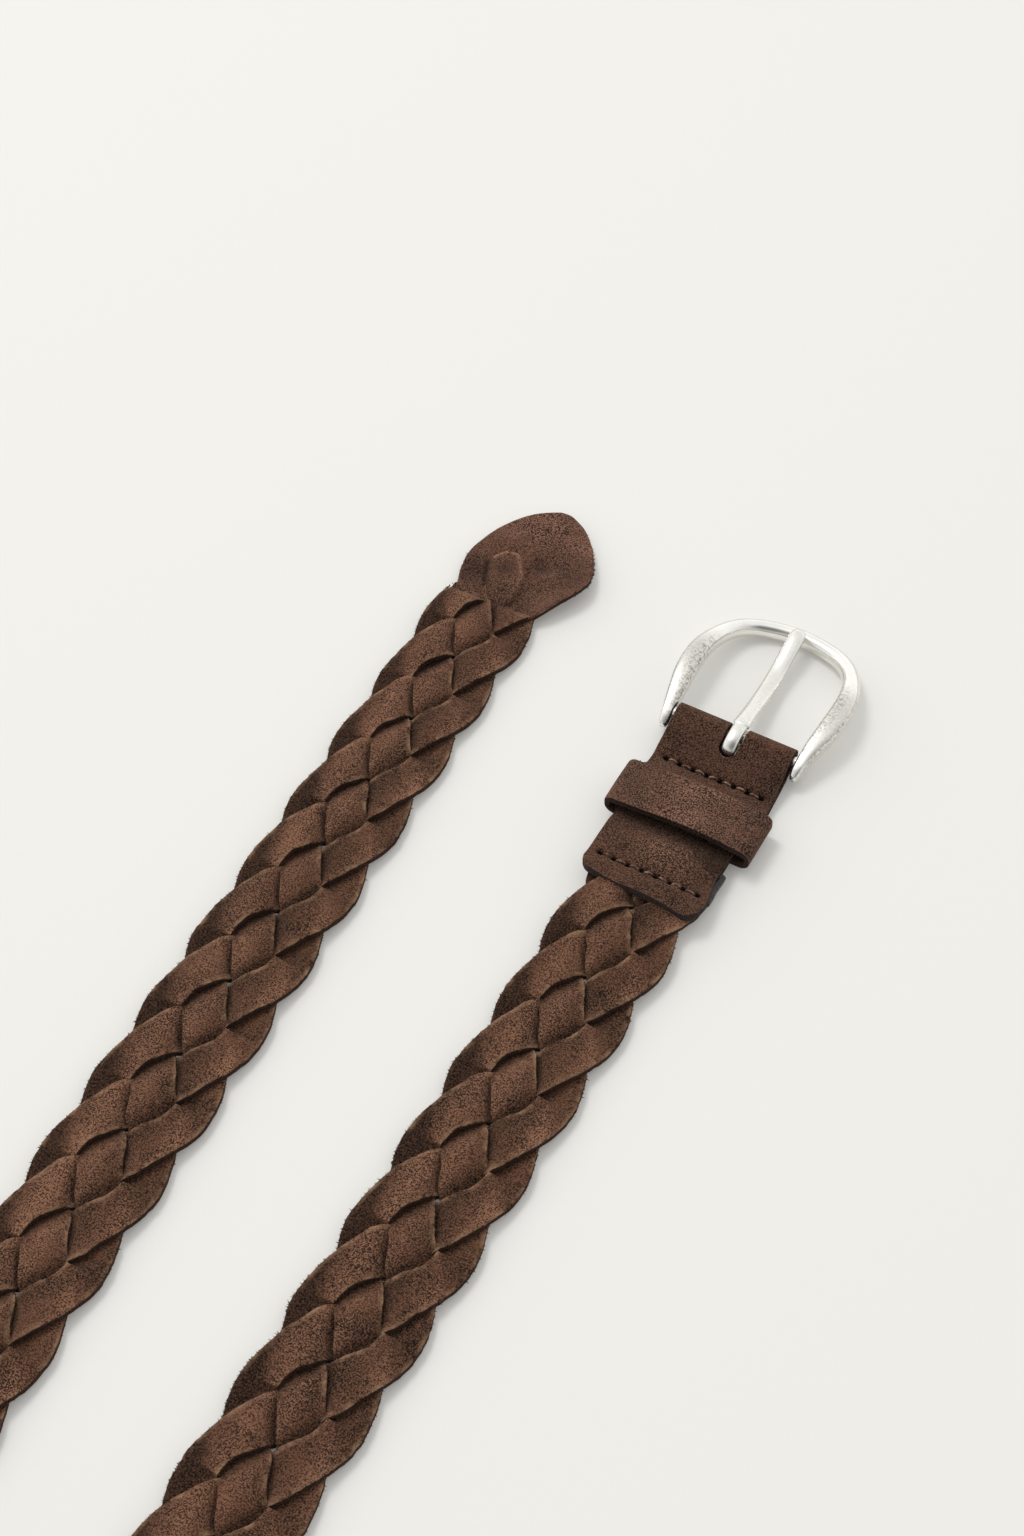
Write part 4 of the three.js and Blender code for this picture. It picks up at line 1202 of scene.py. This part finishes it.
def make_stitches():
    """Thread between each two holes of both seams, sunk into the leather."""
    points, faces = [], []
    for seam in (SEAM_AT, TAIL_SEAM_AT):
        top = float(tab_top(seam))
        for v0, v1 in zip(STITCH_SPAN[:-1], STITCH_SPAN[1:]):
            t = np.linspace(0, 1, 9)
            out = v0 + (v1 - v0) * (STITCH_START + STITCH_SHARE * t)
            up = top - STITCH_SINK + STITCH_SINK * np.sin(math.pi * t) ** 0.45
            along = seam + 0.12 * np.sin(math.pi * t + v0)
            path = buckle_end_point(along, out, up)
            made, these = round_tube(path, THREAD_RADIUS + THREAD_SWELL * np.sin(math.pi * t))
            faces += [[i + len(points) for i in f] for f in these]
            points += made.tolist()
    return make_piece("seam_thread", np.array(points), faces, THREAD, "strap", None)


# How far the bound end is carried under the tab's tail, and to the left
BOUND_OVERLAP = 1
BOUND_SHIFT = 0.15


def make_bound_end():
    """The braid's pressed and glued end, a dark rounded slab that shows at the tab's right edge."""
    shares = np.linspace(0, 1, 9)
    ring = []
    half, low = BINDING_WIDTH / 2, BRAID_LIFT
    corner = BINDING_THICKNESS / 2
    for a in np.linspace(-math.pi / 2, math.pi / 2, 9):
        ring.append((half - corner + corner * math.cos(a), low + corner + corner * math.sin(a)))
    for a in np.linspace(math.pi / 2, 1.5 * math.pi, 9):
        ring.append((corner - half + corner * math.cos(a), low + corner + corner * math.sin(a)))
    ring = np.array(ring)
    rows = []
    for share in shares:
        along = BINDING_AT - BOUND_OVERLAP + (BINDING_LENGTH + BOUND_OVERLAP) * share
        ripple = 1 + 0.006 * math.sin(9 * share)
        out = ring[:, 0] * ripple - BOUND_SHIFT
        rows.append(buckle_end_point(np.full(len(ring), along), out, ring[:, 1]))
    points = np.concatenate(rows)
    faces = tube_faces(len(shares), len(ring))
    return make_piece("bound_end", points, faces, BOUND_LEATHER, "strap", "braid_binding",
                      crisp=50)


def keeper_outline(inset):
    """The keeper's outline across the strap, as points, this far inside its outer face."""
    low = TAB_LEATHER + SEAT_GAP
    top = low + 2 * KEEPER_LEATHER + SEAT_GAP + TAB_LEATHER + KEEPER_ROOM
    corner = KEEPER_CORNER - inset
    points = []

    def bend(cx, cy, start, end):
        for a in np.linspace(start, end, 9):
            points.append((cx + corner * math.cos(a), cy + corner * math.sin(a)))

    x = KEEPER_WIDTH / 2 - KEEPER_CORNER
    bend(x, low + KEEPER_CORNER, -math.pi / 2, 0)
    bend(x, top - KEEPER_ARCH - KEEPER_CORNER, 0, math.pi / 2)
    for t in np.linspace(0, 1, 26)[1:-1]:
        out = x * (1 - 2 * t)
        points.append((out, top - KEEPER_ARCH - inset + 2 * KEEPER_ARCH * t * (1 - t)))
    bend(-x, top - KEEPER_ARCH - KEEPER_CORNER, math.pi / 2, math.pi)
    bend(-x, low + KEEPER_CORNER, math.pi, 1.5 * math.pi)
    for t in np.linspace(0, 1, 12)[1:-1]:
        points.append((-x + 2 * x * t, low + inset))
    return np.array(points)


# The keeper's inner face hangs lower on top, more so at its front; a painted highlight on its top and painted
# shade inside it
KEEPER_LIP = 0.35
KEEPER_FRONT_LIP = 0.5
KEEPER_TOP_HIGHLIGHT = 0.6
KEEPER_INSIDE_SHADE = 0.8


def make_keeper():
    shares, thick = rimmed_shares(KEEPER_LENGTH / 2, 16)
    middle = keeper_outline(KEEPER_LEATHER / 2)
    around = len(middle)
    ahead = unit(np.roll(middle, -1, 0) - np.roll(middle, 1, 0))
    outward = np.stack([ahead[:, 1], -ahead[:, 0]], -1)
    grids = []
    for sign in (1, -1):
        grid = []
        for share, t in zip(shares, thick):
            along = KEEPER_AT + KEEPER_LENGTH * share
            on_top = smooth((middle[:, 1] - 5) / 2)
            wave = 0.35 * on_top * np.sin(middle[:, 0] / 6.5 + 0.9)
            dip = 0.22 * on_top * np.sin(math.pi * share) * np.cos(middle[:, 0] / 9 - 0.4)
            lip = KEEPER_LIP + KEEPER_FRONT_LIP * smooth((0.35 - share) / 0.25)
            half = KEEPER_LEATHER / 2 + lip * on_top * (sign < 0)
            off = sign * half * (0.75 + 0.25 * (t - RIM_LEAST) / (1 - RIM_LEAST)) - dip
            grid.append(buckle_end_point(along + wave * (1 if share < 0.5 else 0.6),
                                         middle[:, 0] + outward[:, 0] * off,
                                         middle[:, 1] + outward[:, 1] * off))
        grids.append(np.array(grid))
    rows = len(shares)
    points = np.concatenate([g.reshape(-1, 3) for g in grids])
    size = rows * around
    at = np.arange(size).reshape(rows, around)
    closed = np.concatenate([at, at[:, :1]], 1)
    outer = grid_quads(closed)
    faces = outer.tolist() + (outer[:, ::-1] + size).tolist()
    for row in (0, -1):
        for a, b in zip(closed[row, :-1], closed[row, 1:]):
            faces.append([a, b, size + b, size + a])
    rim = np.repeat(lit_rim(thick, RIM_LEAST), around)
    cut = np.repeat((thick < 0.5).astype(float), around)
    # Painted highlight on the middle of the keeper's top
    wear_and_highlight = np.tile(np.exp(-((middle[:, 0] - 1) / 9) ** 2) * (middle[:, 1] > 6), rows)
    upper = middle[:, 1] > 5
    chance = np.random.default_rng(KEEPER_SEED)
    for along, inside in ((KEEPER_AT, KEEPER_AT + 4), (KEEPER_END, KEEPER_END - 4)):
        lines = [np.stack([np.full(upper.sum(), at), middle[upper, 0], middle[upper, 1] + 0.5], -1)
                 for at in (along, inside)]
        fibres_along(*lines, KEEPER_TUFTS, place_on_buckle_end, chance)
    # The outer face gets the painted highlight, the inner face painted shade
    shade = np.concatenate([-KEEPER_TOP_HIGHLIGHT * wear_and_highlight, np.full(size, KEEPER_INSIDE_SHADE)])
    fields = {"rim": np.tile(rim, 2), "cut": np.tile(cut, 2), "shade": shade}
    return make_piece("keeper_band", points, faces, KEEPER_SUEDE, "strap", "keeper_loop", fields,
                      crisp=60)


# Rows of the frame from its foot to the middle of its outer end: out on the left
# and on the right, along and up as shares of the feet's span, the reach and the
# bar's height, then the section's width and depth, and how flat-topped it is
FRAME_ROWS = [
    (0.965, 0.915, -0.12, 0.84, 1.2, 1.5, 0.5),
    (0.967, 0.917, -0.105, 0.86, 2.0, 2.5, 0.7),
    (0.975, 0.922, -0.06, 0.93, 2.6, 3.8, 0.9),
    (0.99, 0.935, 0.0, 1.05, 3.0, 4.4, 1.0),
    (1.02, 0.98, 0.14, 1.36, 4.2, 4.7, 1.0),
    (1.05, 1.03, 0.28, 1.56, 5.1, 4.7, 1.0),
    (1.06, 1.055, 0.42, 1.63, 5.3, 4.6, 0.95),
    (1.045, 1.045, 0.55, 1.52, 5.1, 4.5, 0.8),
    (0.995, 0.995, 0.67, 1.33, 4.7, 4.4, 0.5),
    (0.91, 0.91, 0.78, 1.1, 4.4, 4.4, 0.25),
    (0.785, 0.785, 0.87, 0.88, 4.2, 4.4, 0.1),
    (0.61, 0.61, 0.935, 0.71, 4.1, 4.4, 0.0),
    (0.41, 0.41, 0.972, 0.62, 4.1, 4.4, 0.0),
    (0.2, 0.2, 0.993, 0.59, 4.1, 4.4, 0.0),
    (0.0, 0.0, 1.0, 0.58, 4.1, 4.4, 0.0),
]


FRAME_SIDES = 40
BAR_SIDES = 24


def make_frame():
    left = [[-row[0]] + list(row[2:]) for row in FRAME_ROWS]
    right = [[row[1]] + list(row[2:]) for row in FRAME_ROWS[::-1][1:]]
    rows = through(left + right, 8)
    centre = np.stack([BAR_AT + rows[:, 1] * FRAME_REACH, rows[:, 0] * FOOT_HALF_SPAN,
                       rows[:, 2] * BAR_HEIGHT], -1)
    sideways, upward = directions(centre)
    angles = 2 * math.pi * (np.arange(FRAME_SIDES) + 0.5) / FRAME_SIDES
    cos, sin = np.cos(angles), np.sin(angles)
    rings, wear_and_highlight, brushed = [], [], []
    for i, row in enumerate(rows):
        flat = row[5]
        power = 0.88 - 0.5 * flat
        wide = squared(cos, power)
        tall = squared(sin, power)
        domed = tall * (1 - 0.08 * flat * wide ** 2 * (tall > 0))
        rings.append(centre[i] + (wide * row[3] / 2)[:, None] * sideways[i]
                     + (domed * row[4] / 2)[:, None] * upward[i])
        corner = np.exp(-((np.abs(wide) - 0.95) / 0.1) ** 2) * (tall > 0.3)
        inner_half = smooth((0.3 - wide) / 0.6) * (tall > 0.3)
        handled = 0.6 * corner * (wide > 0) + 0.5 * inner_half
        wear_and_highlight.append(flat * handled * smooth((0.75 - row[1]) / 0.2))
        on_arm = smooth((0.72 - row[1]) / 0.25) * smooth((row[1] + 0.03) / 0.1)
        brushed.append(smooth((tall - 0.6) / 0.3) * on_arm)
    points = np.concatenate(rings)
    faces = tube_faces(len(rows), FRAME_SIDES)
    spread = np.linspace(-FRAME_ROWS[3][0] * FOOT_HALF_SPAN, FRAME_ROWS[3][1] * FOOT_HALF_SPAN, 9)
    turn = 2 * math.pi * np.arange(BAR_SIDES) / BAR_SIDES
    bar = np.concatenate([np.stack([BAR_AT + BAR_RADIUS * np.cos(turn), np.full(BAR_SIDES, out),
                                    BAR_HEIGHT + BAR_RADIUS * np.sin(turn)], -1) for out in spread])
    faces += tube_faces(len(spread), BAR_SIDES, first=len(points))
    wear_and_highlight = np.concatenate(wear_and_highlight + [np.zeros(len(bar))])
    brushed = np.concatenate(brushed + [np.zeros(len(bar))])
    points = np.concatenate([points, bar])
    placed = buckle_end_point(points[:, 0], points[:, 1], points[:, 2])
    return make_piece("silver_frame", placed, faces, FRAME_SILVER, "frame", "buckle_frame",
                      {"wear_and_highlight": wear_and_highlight, "brushed": brushed}, crisp=60)


# The prong's loop hangs a little loose behind the bar
LOOP_SLACK = 1.75
PRONG_BRUSHED = 0.35
PRONG_SIDES = 24
PRONG_SQUARENESS = 0.85

# The prong from its loop to its tip: share of its reach, how far it sags, and its
# width and depth as shares of the prong's own
PRONG_SHANK = [
    (0.045, 0.05, 0.86, 1.0),
    (0.075, 0.1, 1.04, 1.12),
    (0.17, 0.7, 1.0, 1.15),
    (0.33, 1.8, 1.0, 1.2),
    (0.5, 2.4, 1.0, 1.2),
    (0.65, 2.1, 1.0, 1.15),
    (0.8, 0.9, 1.0, 1.05),
    (0.92, 0.1, 0.98, 1.0),
    (0.98, 0.0, 0.8, 0.9),
    (1.0, 0.1, 0.4, 0.5),
]


def make_prong():
    radius = BAR_RADIUS + SEAT_GAP + PRONG_THICKNESS / 2
    rest_up = FRAME_ROWS[-1][3] * BAR_HEIGHT + FRAME_ROWS[-1][5] / 2 + SEAT_GAP + PRONG_THICKNESS / 2
    top_up = BAR_HEIGHT + radius
    rows = []
    for a in np.linspace(0, -1.5 * math.pi, 15):
        slack = LOOP_SLACK if math.cos(a) < 0 else 1.0
        rows.append((slack * radius * math.cos(a), BAR_HEIGHT + radius * math.sin(a),
                     PRONG_LOOP_WIDTH, PRONG_THICKNESS, 0))
    for share, sag, width, depth in PRONG_SHANK:
        rows.append((FRAME_REACH * PRONG_REACH_SHARE * share, top_up + (rest_up - top_up) * share - sag,
                     width * PRONG_WIDTH, depth * PRONG_THICKNESS, PRONG_DRIFT * share))
    rows = through(rows, 6)
    centre = np.stack([BAR_AT + rows[:, 0], rows[:, 4], rows[:, 1]], -1)
    across = np.array((0.0, 1.0, 0.0))
    outward = unit(np.cross(unit(np.gradient(centre, axis=0)), across))
    angles = 2 * math.pi * (np.arange(PRONG_SIDES) + 0.5) / PRONG_SIDES
    cos, sin = np.cos(angles), np.sin(angles)
    rings = []
    for i, row in enumerate(rows):
        wide = squared(cos, PRONG_SQUARENESS) * max(row[2], 0.2) / 2
        tall = squared(sin, PRONG_SQUARENESS) * max(row[3], 0.2) / 2 * (1 - 0.14 * cos ** 2)
        rings.append(centre[i] + wide[:, None] * across + tall[:, None] * outward[i])
    points = np.concatenate(rings)
    placed = buckle_end_point(points[:, 0], points[:, 1], points[:, 2])
    fields = {"wear_and_highlight": np.zeros(len(points)), "brushed": np.full(len(points), PRONG_BRUSHED)}
    faces = tube_faces(len(rows), PRONG_SIDES)
    return make_piece("silver_prong", placed, faces, PRONG_SILVER, "prong", "prong", fields,
                      crisp=60)


FLOOR_REACH = 4.0


def make_floor():
    mesh = bpy.data.meshes.new("floor")
    corners = [(x * FLOOR_REACH, y * FLOOR_REACH, 0) for x, y in ((-1, -1), (1, -1), (1, 1), (-1, 1))]
    mesh.from_pydata(corners, [], [(0, 1, 2, 3)])
    material = new_material("pale_floor", {
        "Base Color": (*linear(222, 221, 217), 1), "Emission Color": (*linear(236, 235, 230), 1),
        "Emission Strength": 0.16, "Roughness": 0.9, "Specular IOR Level": 0.1})[0]
    mesh.materials.append(material)
    add_object("floor", mesh)


# The studio in metres and watts. The sky's rows give height, 0 at the horizon and 1
# overhead, and brightness. It is dim in front of the belt and where the picture is
# taken from, and what is seen of it directly is an even pale backdrop.
SKY = ((0.12, 0.6), (0.25, 0.94), (0.42, 0.9), (0.6, 0.8), (0.8, 0.74), (1.0, 0.84))
HORIZON = 0.24
IN_FRONT = (0.6, -0.8, 0.0)
BEHIND_THE_LENS = (0.294, -0.541, 0.788)
STUDIO_STRENGTH = 1.25
BACKDROP_BRIGHTNESS = 0.8
KEY_PLACE = (-1.05, 0.55, 1.95)
KEY_AIM = (0, 0.1, 0)
KEY_SIZE = 0.8
KEY_WATTS = 15


def make_key_light():
    data = bpy.data.lights.new("key", "AREA")
    data.shape = "DISK"
    data.size = KEY_SIZE
    data.energy = KEY_WATTS
    light = add_object("key", data)
    light.location = KEY_PLACE
    direction = np.array(KEY_AIM, float) - np.array(KEY_PLACE, float)
    light.rotation_euler = Vector(direction).to_track_quat("-Z", "Y").to_euler()


def pointing(tree, look, way):
    """How nearly a direction of the sky points one way: 1 straight along it."""
    node = add(tree, "ShaderNodeVectorMath", operation="DOT_PRODUCT")
    tree.links.new(look, node.inputs[0])
    node.inputs[1].default_value = way
    return node.outputs["Value"]


def make_light():
    """The studio round the belt, and its one soft lamp."""
    world = bpy.data.worlds.new("studio")
    world.use_nodes = True
    tree = world.node_tree
    background = tree.nodes["Background"]
    look = add(tree, "ShaderNodeTexCoord").outputs["Generated"]
    parts = add(tree, "ShaderNodeSeparateXYZ")
    tree.links.new(look, parts.inputs[0])
    height = add(tree, "ShaderNodeValToRGB")
    height.color_ramp.elements.remove(height.color_ramp.elements[1])
    for at, strength in SKY:
        height.color_ramp.elements.new(at).color = (strength, strength, strength, 1)
    height.color_ramp.elements[0].color = (HORIZON, HORIZON, HORIZON, 1)
    tree.links.new(parts.outputs["Z"], height.inputs["Fac"])
    front = stepped(tree, pointing(tree, look, IN_FRONT), -0.3, 0.9, 1.0, 0.5)
    dim = stepped(tree, pointing(tree, look, BEHIND_THE_LENS), 0.78, 0.96, 1.0, 0.36)
    around = counted(tree, "MULTIPLY", counted(tree, "MULTIPLY", height.outputs["Color"], front), dim)
    sky = counted(tree, "MULTIPLY", around, STUDIO_STRENGTH)
    seen = add(tree, "ShaderNodeLightPath").outputs["Is Camera Ray"]
    to_backdrop = counted(tree, "SUBTRACT", BACKDROP_BRIGHTNESS, sky)
    shown = counted(tree, "MULTIPLY_ADD", seen, to_backdrop, sky)
    tree.links.new(shown, background.inputs["Strength"])
    background.inputs["Color"].default_value = (1.0, 1.0, 0.995, 1)
    bpy.context.scene.world = world
    make_key_light()


make_camera()
for strand in range(4):
    make_thong(strand)
make_leaf()
make_tab()
make_stitches()
make_bound_end()
make_keeper()
make_fibres()
make_frame()
make_prong()
make_floor()
make_light()
bpy.context.scene.view_settings.view_transform = "Standard"
